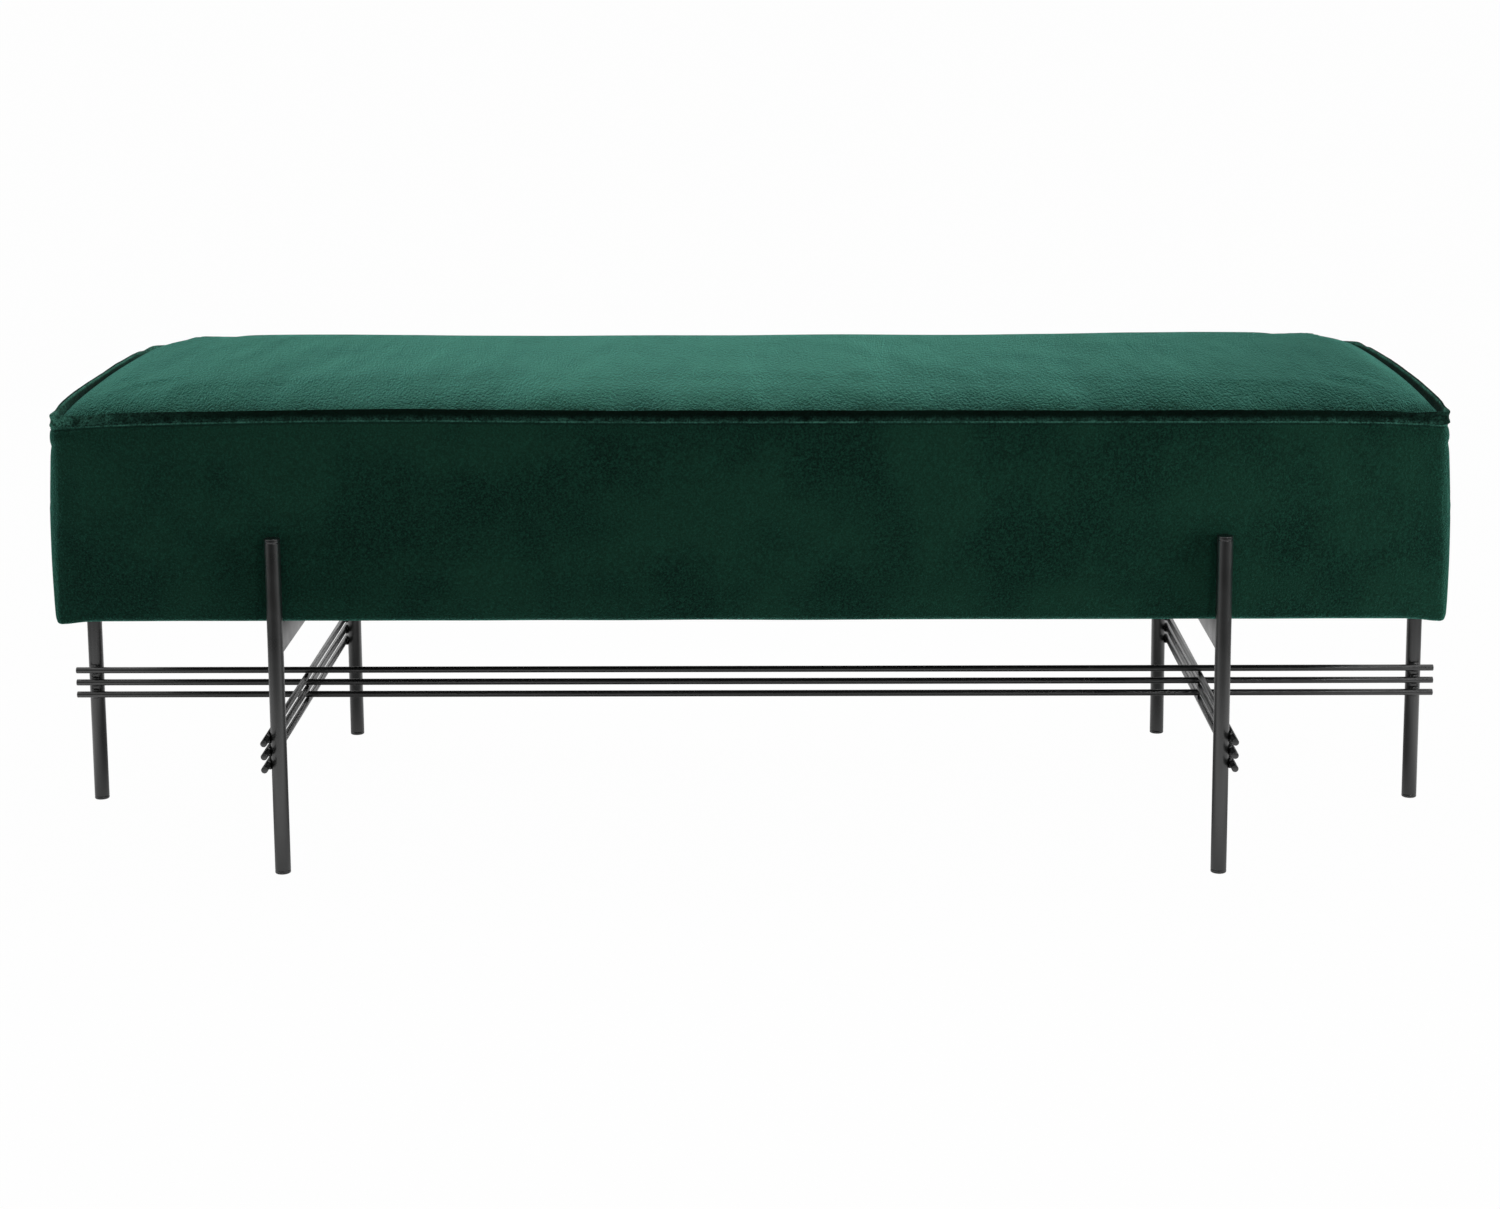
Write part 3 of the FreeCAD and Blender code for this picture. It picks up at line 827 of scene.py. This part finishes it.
class POUF_OT_seam_fin(bpy.types.Operator):
    """Doubled fin of velvet that stands on the seam round the top"""

    bl_idname = "pouf.seam_fin"
    bl_label = "Seam fin"

    def execute(self, context):
        seat = context.scene.pouf_seat
        outline = seat_outline()
        bm = bmesh.new()
        sweep(bm, outline, self.profile(seat), seat.edge_cell * 1.2, closed=True)
        for corner in bm.verts:
            self.sculpt(seat, outline, corner)
        piece = new_piece("velvet_seam_fin", bm, "pressed_velvet_painted_shade", ["seam_flange"])
        # The fin's free edge, root and gathered corners get parted pile with a painted highlight
        mark_cloth(piece, "parted_and_highlight", lambda point: self.fold(seat, outline, point))
        settle(seat, piece.data.vertices)
        return {"FINISHED"}

    @staticmethod
    def fold(seat, outline, point):
        """Parted pile with a painted highlight along the fin's free edge, at its flared root, and where its
        corners are gathered.
        """
        up = (point.z - SEAM_HEIGHT) / FIN_HEIGHT
        off_middle = outline.inset_of(point) - fin_inset(seat, 0.5, up)
        inner = smooth_step(off_middle / (1.4 * MM) + 0.5)
        edge = inner * (0.8 + 0.4 * wander(point.x, point.y, 9.0, 20 * MM)) * hump(1 - up, 0.14)
        root = (0.24 + 0.3 * wander(*point, 4 * MM)) * hump(up, 0.3)
        gathered = math.exp(-outline.corner_distance(point) / GATHER_REACH)
        gathered *= (0.4 - 0.3 * math.copysign(1, point.x)) * (1 + wander(*point, 6 * MM))
        return max(edge, root, gathered, 0.0)

    @staticmethod
    def profile(seat):
        """The fin's section: two folded plies, flared at the root, with a groove between them on top."""
        # Shares of its thickness across it and of its height up it
        shares = (
            (-0.64, -0.04), (-0.5, 0.05), (-0.2, 0.18), (0.05, 0.32), (0.18, 0.47), (0.2, 0.62),
            (0.1, 0.76), (0.02, 0.88), (0.0, 0.95), (0.08, 1.0), (0.26, 1.0), (0.4, 0.93), (0.55, 0.98),
            (0.78, 0.97), (0.94, 0.9), (1.0, 0.78), (1.02, 0.55), (1.0, 0.3), (0.96, 0.1), (0.94, -0.08),
            (0.3, -0.1),
        )
        return [(fin_inset(seat, across, up), SEAM_HEIGHT + FIN_HEIGHT * up) for across, up in shares]

    @staticmethod
    def sculpt(seat, outline, corner):
        """Lets the free edge wander, and gathers the root at its stitches."""
        point = corner.co
        away = outline.outward(point)
        up = max((point.z - SEAM_HEIGHT) / FIN_HEIGHT, 0.0)
        near_corner = math.exp(-outline.corner_distance(point) / (25 * MM))
        off_middle = fin_inset(seat, 0.5, up) - outline.inset_of(point)
        at_corner = hump(outline.corner_distance(point), 16 * MM)
        bulge = math.sqrt(max(1 - (2 * up - 1) ** 2, 0.0))
        corner.co += away * at_corner * (0.5 * off_middle * (2 * bulge - 0.7) - 0.4 * seat.fin_lean * up)
        long_wave = wander(point.x, point.y, 2.0, 85 * MM) + 0.5 * wander(point.x, point.y, 4.0, 32 * MM)
        push = seat.fin_wave * long_wave * up**1.4
        folds = wander(point.x, point.y, 6.0, 7 * MM) * (1 - 0.6 * up)
        push += seat.pucker_depth * (1 + 2 * near_corner) * folds
        corner.co += away * push
        corner.co.z += 0.5 * MM * wander(point.x, point.y, 8.0, 60 * MM) * up
        tip = 1.0 * MM * hump(outline.corner_distance(point), 13 * MM)
        neck = 1.0 * MM * hump(outline.corner_distance(point) - 24 * MM, 11 * MM)
        corner.co.z += (tip - neck) * up


class POUF_OT_top_panel(bpy.types.Operator):
    """Crowned velvet top panel inside the fin"""

    bl_idname = "pouf.top_panel"
    bl_label = "Top panel"

    def execute(self, context):
        seat = context.scene.pouf_seat
        half = Vector((CROWN_HIGH.x, CROWN_HIGH.y))
        bm = bmesh.new()
        self.cut_out(bm, half, seat)
        for corner in bm.verts:
            corner.co.z = self.height(corner.co, half, seat, seat.crown - seat.swell, seat.roll)
        piece = new_piece("velvet_top_panel", bm, "laid_pile_velvet", ["cover_top"])
        border = {index for edge in self.border(piece.data) for index in edge}
        inflate(piece, sorted(border), 2 * seat.swell)
        for corner in piece.data.vertices:
            if corner.index not in border:
                self.sculpt(seat, half, corner)
        settle(seat, piece.data.vertices)
        give_thickness(piece, seat.cloth)
        return {"FINISHED"}

    @staticmethod
    def border(mesh):
        """The edges that only one face uses."""
        uses = {}
        for polygon in mesh.polygons:
            for key in polygon.edge_keys:
                uses[key] = uses.get(key, 0) + 1
        return [key for key, count in uses.items() if count == 1]

    @staticmethod
    def cut_out(bm, half, seat):
        """The flat panel with rounded corners, cut into a grid that is finer near its border."""
        radius = seat.corner_radius - seat.fin_root - seat.fin_thickness
        rounded(bm, rectangle(bm, half, SEAM_HEIGHT), radius, 5, "VERTICES")
        for axis, reach in ((Vector((1, 0, 0)), half.x), (Vector((0, 1, 0)), half.y)):
            for place in grid_lines(reach, seat.edge_cell, seat.cell):
                bmesh.ops.bisect_plane(
                    bm, geom=bm.verts[:] + bm.edges[:] + bm.faces[:], plane_co=axis * place, plane_no=axis,
                    dist=0.02 * MM,
                )

    @staticmethod
    def height(point, half, seat, crown, roll):
        """The crown's height: it falls from the middle to the seam by a power of the plan."""
        across = 1 - min(abs(point.y / half.y), 1.0) ** seat.power_across
        along = 1 - min(abs(point.x / half.x), 1.0) ** seat.power_along
        border = roll
        for from_seam in (half.x - abs(point.x), half.y - abs(point.y)):
            out = 1 - min(max(from_seam / seat.roll_width, 0.0), 1.0)
            border *= math.sqrt(1 - out**2)
        return SEAM_HEIGHT + border + crown * across * along

    @staticmethod
    def sculpt(seat, half, corner):
        """Soft hollows in the padding and puckers along the seam."""
        broad_depth, small_depth, crease_depth, crease_pitch = 0.8 * MM, 0.3 * MM, 0.8 * MM, 6 * MM
        point = corner.co
        from_seam = min(half.x - abs(point.x), half.y - abs(point.y))
        inner = smooth_step(from_seam / (40 * MM))
        lift = broad_depth * wander(point.x, point.y, 0.0, 150 * MM) * inner
        lift += small_depth * wander(point.x, point.y, 3.0, 55 * MM) * inner
        off_seam = smooth_step(from_seam / (4 * MM))
        lift += pucker(point, from_seam, 1.2 * seat.pucker_depth, 1.4 * seat.pucker_pitch) * off_seam
        near_corner = math.exp(-seat_outline().corner_distance(point) / (55 * MM))
        creases = wander(0.3 * point.x, point.y, 7.0, crease_pitch)
        creases += wander(point.x, 0.3 * point.y, 7.0, crease_pitch)
        lift -= crease_depth * near_corner * math.exp(-from_seam / (14 * MM)) * abs(creases) * off_seam
        corner.co.z += lift


def grid_lines(reach, fine, coarse):
    """Places across a width, close together at both borders and further apart between."""
    places = []
    place = reach
    step = fine
    while place - step > 0:
        place -= step
        places += [place, -place]
        step = min(step * 1.12, coarse)
    return sorted(places + [0.0])


class POUF_OT_padding(bpy.types.Operator):
    """Wadding and foam inside the covers"""

    bl_idname = "pouf.padding"
    bl_label = "Padding"

    def execute(self, context):
        self.block("seat_foam_block", "seat_foam", 5 * MM, (0.4 * MM, 0.4 * MM, 0.4 * MM))
        # The pads end short of the band's corners, and stay clear of it where it bellies in
        long_pad = (14 * MM, 3.2 * MM, 4.0 * MM)
        end_pad = (3.2 * MM, 4.0 * MM, 4.0 * MM)
        for side, inside in (("front", long_pad), ("rear", long_pad), ("left", end_pad), ("right", end_pad)):
            self.block("side_foam_pad_" + side, "side_foam_" + side, 4 * MM, inside)
        self.wadding(context.scene.pouf_seat)
        return {"FINISHED"}

    @staticmethod
    def block(name, node, rounding, inside):
        """A foam block with softened edges, just inside its CAD solid."""
        low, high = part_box(node)
        size = high - low - 2 * Vector(inside)
        bm = bmesh.new()
        bmesh.ops.create_cube(bm, size=1.0)
        bmesh.ops.scale(bm, verts=bm.verts, vec=size)
        bmesh.ops.translate(bm, verts=bm.verts, vec=(low + high) / 2)
        rounded(bm, bm.edges[:], rounding, 4)
        settle(bpy.context.scene.pouf_seat, bm.verts)
        new_piece(name, bm, "cut_foam", [node], sharp_degrees=60)

    @staticmethod
    def wadding(seat):
        """The crowned pad, a little inside the top panel, with a flat underside."""
        inset, under_crown, under_roll = 8 * MM, 3 * MM, 4 * MM
        half = Vector((CROWN_HIGH.x - inset, CROWN_HIGH.y - inset))
        crown, roll = seat.crown - under_crown, seat.roll - under_roll
        bm = bmesh.new()
        POUF_OT_top_panel.cut_out(bm, half, seat)
        for corner in bm.verts:
            corner.co.z = POUF_OT_top_panel.height(corner.co, half, seat, crown, roll)
        rim = [edge for edge in bm.edges if edge.is_boundary]
        made = bmesh.ops.extrude_edge_only(bm, edges=rim)["geom"]
        lower = [part for part in made if isinstance(part, bmesh.types.BMVert)]
        above_seam, edge_height = 1.0 * MM, 0.8 * MM
        for corner in bm.verts:
            corner.co.z += above_seam
        for corner in lower:
            corner.co.z -= edge_height
        settle(seat, bm.verts)
        rim = [part for part in made if isinstance(part, bmesh.types.BMEdge) and part.is_boundary]
        bmesh.ops.edgeloop_fill(bm, edges=rim)
        piece = new_piece("wadding_pad", bm, "polyester_wadding", ["crown_wadding"])


class POUF_OT_dust_cloth(bpy.types.Operator):
    """Thin cloth stapled under the seat"""

    bl_idname = "pouf.dust_cloth"
    bl_label = "Dust cloth"

    def execute(self, context):
        low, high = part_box("dust_cover")
        half = Vector((high.x, high.y))
        thickness, turned_under = 0.25 * MM, 10 * MM
        below_rails, sag, pull_depth = 0.35 * MM, 0.9 * MM, 0.25 * MM
        bm = bmesh.new()
        bmesh.ops.create_grid(bm, x_segments=120, y_segments=38, size=1.0)
        bmesh.ops.scale(bm, verts=bm.verts, vec=(half.x, half.y, 1.0))
        for corner in bm.verts:
            from_edge = min(half.x - abs(corner.co.x), half.y - abs(corner.co.y))
            slack = smooth_step(from_edge / (60 * MM))
            pull = wander(corner.co.x, corner.co.y, 0.0, 45 * MM) * smooth_step(from_edge / (12 * MM))
            corner.co.z = high.z - below_rails - sag * slack + pull_depth * pull
        bmesh.ops.solidify(bm, geom=bm.faces[:], thickness=thickness)
        piece = new_piece("dust_cloth", bm, "spunbonded_cloth", ["dust_cover"])
        self.staples(half, low.z)
        return {"FINISHED"}

    @staticmethod
    def staples(half, face):
        """A row of wire staples round the cloth, a little inside its edge and clear of the bars."""
        inset, pitch, clear_of_bar = 8 * MM, 45 * MM, 12 * MM
        wire_size, sunk, most_tilt = (11 * MM, 1.2 * MM, 0.6 * MM), 0.25 * MM, 0.25
        bm = bmesh.new()
        reach = half - Vector((inset, inset))
        for axis, bar in ((0, leg_foot("front_right").x), (1, 0.0)):
            along = reach[axis]
            count = int(2 * along / pitch)
            for step, hand in itertools.product(range(count + 1), (-1, 1)):
                place = Vector((0.0, 0.0, face - sunk))
                place[axis] = -along + 2 * along * step / count
                place[1 - axis] = hand * reach[1 - axis]
                if abs(abs(place[axis]) - bar) < clear_of_bar:
                    continue
                tilt = most_tilt * wander(place.x, place.y, 5.0, 10 * MM)
                wire = bmesh.ops.create_cube(bm, size=1.0)["verts"]
                bmesh.ops.scale(bm, verts=wire, vec=wire_size)
                turn = Matrix.Rotation(axis * math.pi / 2 + tilt, 4, "Z")
                bmesh.ops.transform(bm, matrix=Matrix.Translation(place) @ turn, verts=wire)
        rounded(bm, bm.edges[:], 0.2 * MM, 2)
        new_piece("staples", bm, "zinc_plated_steel", sharp_degrees=50)


# Steel base

LEG_NAMES = ("front_left", "front_right", "rear_left", "rear_right", "end_left", "end_right")
LAYERS = ("upper", "middle", "lower")


def coated(name, bm, node, sharp_degrees=50):
    """A powder-coated piece of steel that stands for one node."""
    new_piece(name, bm, "satin_powder_coat", [node], sharp_degrees)


def leg_foot(name):
    """The point on the floor under a leg's axis."""
    low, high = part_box("leg_" + name)
    return Vector(((low.x + high.x) / 2, (low.y + high.y) / 2, 0.0))


class POUF_OT_legs(bpy.types.Operator):
    """Six leg tubes with their caps and glides"""

    bl_idname = "pouf.legs"
    bl_label = "Legs"

    def execute(self, context):
        base = context.scene.pouf_base
        caps = bmesh.new()
        glides = bmesh.new()
        cap_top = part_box("leg_caps")[1].z
        stem_length, stem_play = 12 * MM, 0.1 * MM
        for name in LEG_NAMES:
            low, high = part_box("leg_" + name)
            radius = (high.x - low.x) / 2
            bore = radius - base.tube_wall
            foot = leg_foot(name)
            bm = bmesh.new()
            section = [(bore, low.z), (radius, low.z), (radius, high.z), (bore, high.z)]
            turned(bm, section, base.tube_edge, base.turn_steps, foot)
            coated("leg_tube_" + name, bm, "leg_" + name)
            stem = bore - stem_play
            stem_end = high.z - stem_length
            cap = [(0.0, stem_end), (stem, stem_end), (stem, high.z), (radius, high.z)]
            turned(caps, cap + [(radius, cap_top), (0.0, cap_top)], base.plug_edge, base.turn_steps, foot)
            stem_end = low.z + stem_length
            glide = [(0.0, 0.0), (radius, 0.0), (radius, low.z), (stem, low.z), (stem, stem_end)]
            turned(glides, glide + [(0.0, stem_end)], base.plug_edge, base.turn_steps, foot)
        for node, bm in (("leg_caps", caps), ("leg_glides", glides)):
            new_piece(node + "_moulded", bm, "moulded_polyethylene", [node], sharp_degrees=50)
        return {"FINISHED"}


class POUF_OT_rods(bpy.types.Operator):
    """Long rods and depth rods with rounded tips"""

    bl_idname = "pouf.rods"
    bl_label = "Rods"

    def execute(self, context):
        base = context.scene.pouf_base
        nodes = ["long_rod_" + layer for layer in LAYERS]
        nodes += [f"depth_rod_{side}_{layer}" for side in ("left", "right") for layer in LAYERS]
        for node in nodes:
            low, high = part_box(node)
            size = high - low
            axis = 0 if size.x > size.y else 1
            radius = size.z / 2
            direction = Vector((1 - axis, axis, 0))
            start = (low + high) / 2 - direction * size[axis] / 2
            bm = bmesh.new()
            section = [(0.0, 0.0), (radius, 0.0), (radius, size[axis]), (0.0, size[axis])]
            turned(bm, section, base.rod_edge, base.turn_steps, start, direction)
            coated(node + "_drawn", bm, node)
        return {"FINISHED"}


class POUF_OT_bars(bpy.types.Operator):
    """Flat bars and fixing tabs with their rolled edges"""

    bl_idname = "pouf.bars"
    bl_label = "Bars and tabs"

    def execute(self, context):
        edge = context.scene.pouf_base.bar_edge
        flat_angle, edge_angle = math.radians(1), math.radians(40)
        for kind, side in itertools.product(("cross_bar", "end_bar", "fixing_tabs"), ("left", "right")):
            node = f"{kind}_{side}"
            bm = bmesh.new()
            bm.from_mesh(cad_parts[node].data)
            bmesh.ops.remove_doubles(bm, verts=bm.verts, dist=0.001 * MM)
            bmesh.ops.dissolve_limit(
                bm, angle_limit=flat_angle, verts=bm.verts, edges=bm.edges,
                use_dissolve_boundaries=False, delimit=set(),
            )
            sharp = [line for line in bm.edges if line.calc_face_angle(0.0) > edge_angle]
            rounded(bm, sharp, edge, 3, clamp_overlap=True)
            coated(node + "_rolled", bm, node, sharp_degrees=35)
        return {"FINISHED"}


class POUF_OT_welds(bpy.types.Operator):
    """Rippled weld beads where rods and bars meet the tubes"""

    bl_idname = "pouf.welds"
    bl_label = "Weld beads"

    def execute(self, context):
        base = context.scene.pouf_base
        bm = bmesh.new()
        for name in LEG_NAMES:
            self.beads_of_leg(bm, base, name)
        coated("weld_beads_rippled", bm, "weld_beads", sharp_degrees=60)
        return {"FINISHED"}

    def beads_of_leg(self, bm, base, name):
        """Beads above and below each rod, and on both sides of the bar, at one leg."""
        rod_bead, short_of_bar = 8 * MM, 2 * MM
        # Shares of a rod's radius that its beads lie off the tube and off the rod's axis
        bead_out, bead_up = 0.35, 0.95
        low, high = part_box("leg_" + name)
        radius = (high.x - low.x) / 2
        foot = leg_foot(name)
        side = "left" if foot.x < 0 else "right"
        hand = math.copysign(1.0, foot.x)
        if name.startswith("end"):
            rods = ["long_rod_" + layer for layer in LAYERS]
            away = Vector((0.0, -1.0, 0.0))
            inward = Vector((-hand, 0.0, 0.0))
            bar = "end_bar_" + side
        else:
            rods = [f"depth_rod_{side}_{layer}" for layer in LAYERS]
            away = Vector((hand, 0.0, 0.0))
            inward = Vector((0.0, -math.copysign(1.0, foot.y), 0.0))
            bar = "cross_bar_" + side
        for rod in rods:
            rod_low, rod_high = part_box(rod)
            rod_radius = (rod_high.z - rod_low.z) / 2
            for up in (1, -1):
                place = foot + away * (radius + bead_out * rod_radius)
                place.z = (rod_low.z + rod_high.z) / 2 + up * rod_radius * bead_up
                self.bead(bm, base, place, away.cross(UP), rod_bead)
        bar_low, bar_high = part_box(bar)
        half_bar = min(bar_high.x - bar_low.x, bar_high.y - bar_low.y) / 2
        for turn in (-1, 1):
            place = foot + inward * radius + inward.cross(UP) * turn * half_bar
            place.z = (bar_low.z + bar_high.z) / 2
            self.bead(bm, base, place, UP, bar_high.z - bar_low.z - short_of_bar)

    @staticmethod
    def bead(bm, base, place, along, length):
        """One bead: a long drop with ripples across it, half sunk in the groove."""
        steps_a_ripple, least_steps = 4, 16
        steps = max(int(length / base.weld_ripple) * steps_a_ripple, least_steps)
        ripple_depth, unevenness, blunt_ends = 0.1, 0.15, 0.8
        drop = bmesh.ops.create_uvsphere(bm, u_segments=10, v_segments=steps, radius=1.0)["verts"]
        for corner in drop:
            height = math.copysign(abs(corner.co.z) ** blunt_ends, corner.co.z)
            ripple = 1 + ripple_depth * math.cos(height * length / base.weld_ripple * math.pi)
            ripple *= 1 + unevenness * wander(place.x + height * MM, place.y, place.z, 2 * MM)
            corner.co.x *= ripple
            corner.co.y *= ripple
            corner.co.z = height
        bmesh.ops.scale(bm, verts=drop, vec=(base.weld_width / 2, base.weld_width / 2, length / 2))
        stand(bm, drop, place, along)


# Pieces carried over from the frame

CARRIED = {
    "planed_pine_x": ("rail_front", "rail_rear"),
    "planed_pine_y": (
        "rail_end_left", "rail_end_right", "centre_rib", "fixing_batten_left", "fixing_batten_right",
        "corner_block_front_left", "corner_block_front_right", "corner_block_rear_left",
        "corner_block_rear_right",
    ),
    "birch_plywood": ("seat_deck",),
    "zinc_plated_steel": ("fixing_screws", "threaded_inserts"),
}


class POUF_OT_frame_finish(bpy.types.Operator):
    """Finishes of the timber frame, the deck and the fixings"""

    bl_idname = "pouf.frame_finish"
    bl_label = "Frame and fixings"

    def execute(self, context):
        for material, nodes in CARRIED.items():
            for node in nodes:
                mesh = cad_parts[node].data
                mesh.materials.clear()
                mesh.materials.append(material_named(material))
        return {"FINISHED"}


# Stage


def ray_kinds(tree):
    """The light path's outputs, and whether a ray runs straight from the camera or through glass."""
    path = add_node(tree, "LightPath").outputs
    kinds = {0: path["Is Camera Ray"], 1: path["Is Transmission Ray"]}
    return path, add_node(tree, "Math", kinds, operation="MAXIMUM")


class POUF_OT_stage(bpy.types.Operator):
    """Pale floor, soft light and the photograph's camera"""

    bl_idname = "pouf.stage"
    bl_label = "Stage"

    def execute(self, context):
        stage = context.scene.pouf_stage
        context.scene.view_settings.view_transform = "Standard"
        self.floor(stage)
        self.surroundings(context, stage)
        side = stage.side_watts
        key = stage.key_watts
        for name, place, size, target, watts in (
            ("ceiling_soft_box", (0.0, 0.3, 3.2), (4.0, 3.0), (0.0, 0.0, 0.0), stage.ceiling_watts),
            ("overhead_soft_box", (-0.12, 0.15, 1.05), (0.6, 0.6), (-0.1, 0.0, 0.4), stage.overhead_watts),
            ("right_soft_box", (2.0, -0.7, 0.25), (1.0, 0.5), (0.0, 0.0, 0.25), side),
            ("left_soft_box", (-2.2, -0.3, 0.25), (1.0, 0.5), (0.0, 0.0, 0.25), 0.7 * side),
            ("left_key_box", (-1.0, -2.7, 1.7), (0.5, 0.5), (0.0, 0.0, 0.2), 0.15 * key),
            ("right_key_box", (1.5, -2.5, 1.7), (0.5, 0.5), (0.2, 0.0, 0.2), key),
        ):
            self.soft_box(name, place, size, target, watts)
        # A grid on the overhead box keeps its light off the seat's ends, and no tube mirrors the side boxes
        bpy.data.lights["overhead_soft_box"].spread = math.radians(140)
        for name in ("right_soft_box", "left_soft_box"):
            bpy.data.objects[name].visible_glossy = False
        self.camera(context, stage)
        return {"FINISHED"}

    @staticmethod
    def floor(stage):
        """Matt white floor, lifted to plain white for the camera, that keeps the object's shadow."""
        bm = bmesh.new()
        bmesh.ops.create_grid(bm, x_segments=1, y_segments=1, size=60.0)
        material, tree = start_material("studio_paper")
        shaped("floor", bm, material)
        paper = add_node(tree, "BsdfDiffuse", {"Color": linear("f2f2f2")})
        glow = add_node(tree, "Emission", {"Color": linear("ffffff"), "Strength": 1.0})
        # Reflections see the paper as a glow painted plain white beside the seat, with a painted shadow under
        # it and painted shade further off
        place = add_node(tree, "TexCoord").outputs["Object"]
        folded = add_node(tree, "VectorMath", {0: place}, operation="ABSOLUTE")
        beyond = add_node(tree, "VectorMath", {
            0: folded, 1: (HALF_LENGTH, HALF_DEPTH, 0.0),
        }, operation="SUBTRACT")
        sides = add_node(tree, "SeparateXYZ", {"Vector": beyond}).outputs
        away = add_node(tree, "Math", {0: sides["X"], 1: sides["Y"]}, operation="MAXIMUM")
        painted_seat_shadow = add_node(tree, "MapRange", {
            "Value": away, "From Min": -0.08, "From Max": 0.12, "To Min": 0.2,
        })
        painted_falloff = add_node(tree, "MapRange", {
            "Value": away, "From Min": 0.3 * stage.paper_reach, "From Max": stage.paper_reach,
            "To Min": 1.0, "To Max": 0.15,
        })
        near = add_node(tree, "Math", {0: painted_seat_shadow, 1: painted_falloff}, operation="MULTIPLY")
        mirrored = add_node(tree, "Emission", {"Color": linear("ffffff"), "Strength": near})
        path, straight = ray_kinds(tree)
        white = add_node(tree, "Math", {0: straight, 1: stage.floor_glow}, operation="MULTIPLY")
        lit = add_node(tree, "MixShader", {0: white, 1: paper, 2: glow})
        both = add_node(tree, "MixShader", {0: path["Is Glossy Ray"], 1: lit, 2: mirrored})
        add_node(tree, "OutputMaterial", {"Surface": both})

    @staticmethod
    def surroundings(context, stage):
        """White to the camera and in reflections but for the dark room in front, and softer as light."""
        world = bpy.data.worlds.new("studio")
        world.use_nodes = True
        tree = world.node_tree
        tree.nodes.clear()
        path, straight = ray_kinds(tree)
        heading = add_node(tree, "SeparateXYZ", {"Vector": add_node(tree, "TexCoord").outputs["Generated"]})
        room = add_node(tree, "MapRange", {
            "Value": heading.outputs["Y"], "From Min": -0.9, "From Max": -0.3, "To Min": 0.05, "To Max": 1.0,
        })
        light = add_node(tree, "Background", {"Color": linear("ffffff"), "Strength": stage.sky})
        mirrored = add_node(tree, "Background", {"Color": linear("ffffff"), "Strength": room})
        white = add_node(tree, "Background", {"Color": linear("ffffff"), "Strength": 1.0})
        unseen = add_node(tree, "MixShader", {0: path["Is Glossy Ray"], 1: light, 2: mirrored})
        both = add_node(tree, "MixShader", {0: straight, 1: unseen, 2: white})
        add_node(tree, "OutputWorld", {"Surface": both})
        context.scene.world = world

    @staticmethod
    def soft_box(name, place, size, target, watts):
        """A large rectangular lamp aimed at the seat."""
        lamp = bpy.data.lights.new(name, "AREA")
        lamp.shape = "RECTANGLE"
        lamp.size, lamp.size_y = size
        lamp.energy = watts
        box = bpy.data.objects.new(name, lamp)
        box.location = place
        box.rotation_euler = (Vector(target) - Vector(place)).to_track_quat("-Z", "Y").to_euler()
        box.visible_camera = False
        bpy.context.scene.collection.objects.link(box)

    @staticmethod
    def camera(context, stage):
        """The photograph's camera, its lens raised a little above the middle of the picture."""
        data = bpy.data.cameras.new("camera")
        data.sensor_width = 36.0
        data.lens = stage.focal_pixels / IMAGE_WIDTH * data.sensor_width
        data.shift_y = -(IMAGE_HEIGHT / 2 - stage.centre_row) / IMAGE_WIDTH
        data.clip_end = 100.0
        camera = bpy.data.objects.new("camera", data)
        turn = Matrix.Rotation(stage.camera_turn, 4, "Z")
        tilt = Matrix.Rotation(math.pi / 2 - stage.camera_tilt, 4, "X")
        roll = Matrix.Rotation(stage.camera_roll, 4, "Z")
        camera.matrix_world = Matrix.Translation(stage.camera_place) @ turn @ tilt @ roll
        context.scene.collection.objects.link(camera)
        context.scene.camera = camera


OPERATORS = (
    POUF_OT_side_band, POUF_OT_seam_fin, POUF_OT_top_panel, POUF_OT_padding, POUF_OT_dust_cloth,
    POUF_OT_legs, POUF_OT_rods, POUF_OT_bars, POUF_OT_welds, POUF_OT_frame_finish, POUF_OT_stage,
)


class POUF_PT_panel(bpy.types.Panel):
    """Lists the pouf's pieces in the sidebar"""

    bl_idname = "POUF_PT_panel"
    bl_label = "Velvet pouf"
    bl_space_type = "VIEW_3D"
    bl_region_type = "UI"
    bl_category = "Pouf"

    def draw(self, context):
        for operator in OPERATORS:
            self.layout.operator(operator.bl_idname)


GROUPS = {
    "pouf_seat": PoufSeat,
    "pouf_base": PoufBase,
    "pouf_colours": PoufColours,
    "pouf_stage": PoufStage,
}
CLASSES = (*GROUPS.values(), *OPERATORS, POUF_PT_panel)


def register():
    for item in CLASSES:
        bpy.utils.register_class(item)
    for name, group in GROUPS.items():
        setattr(bpy.types.Scene, name, bpy.props.PointerProperty(type=group))


def unregister():
    for name in GROUPS:
        delattr(bpy.types.Scene, name)
    for item in reversed(CLASSES):
        bpy.utils.unregister_class(item)


def main():
    """Makes every piece and the stage."""
    register()
    for operator in OPERATORS:
        group, name = operator.bl_idname.split(".")
        getattr(getattr(bpy.ops, group), name)()


if __name__ == "__main__":
    main()
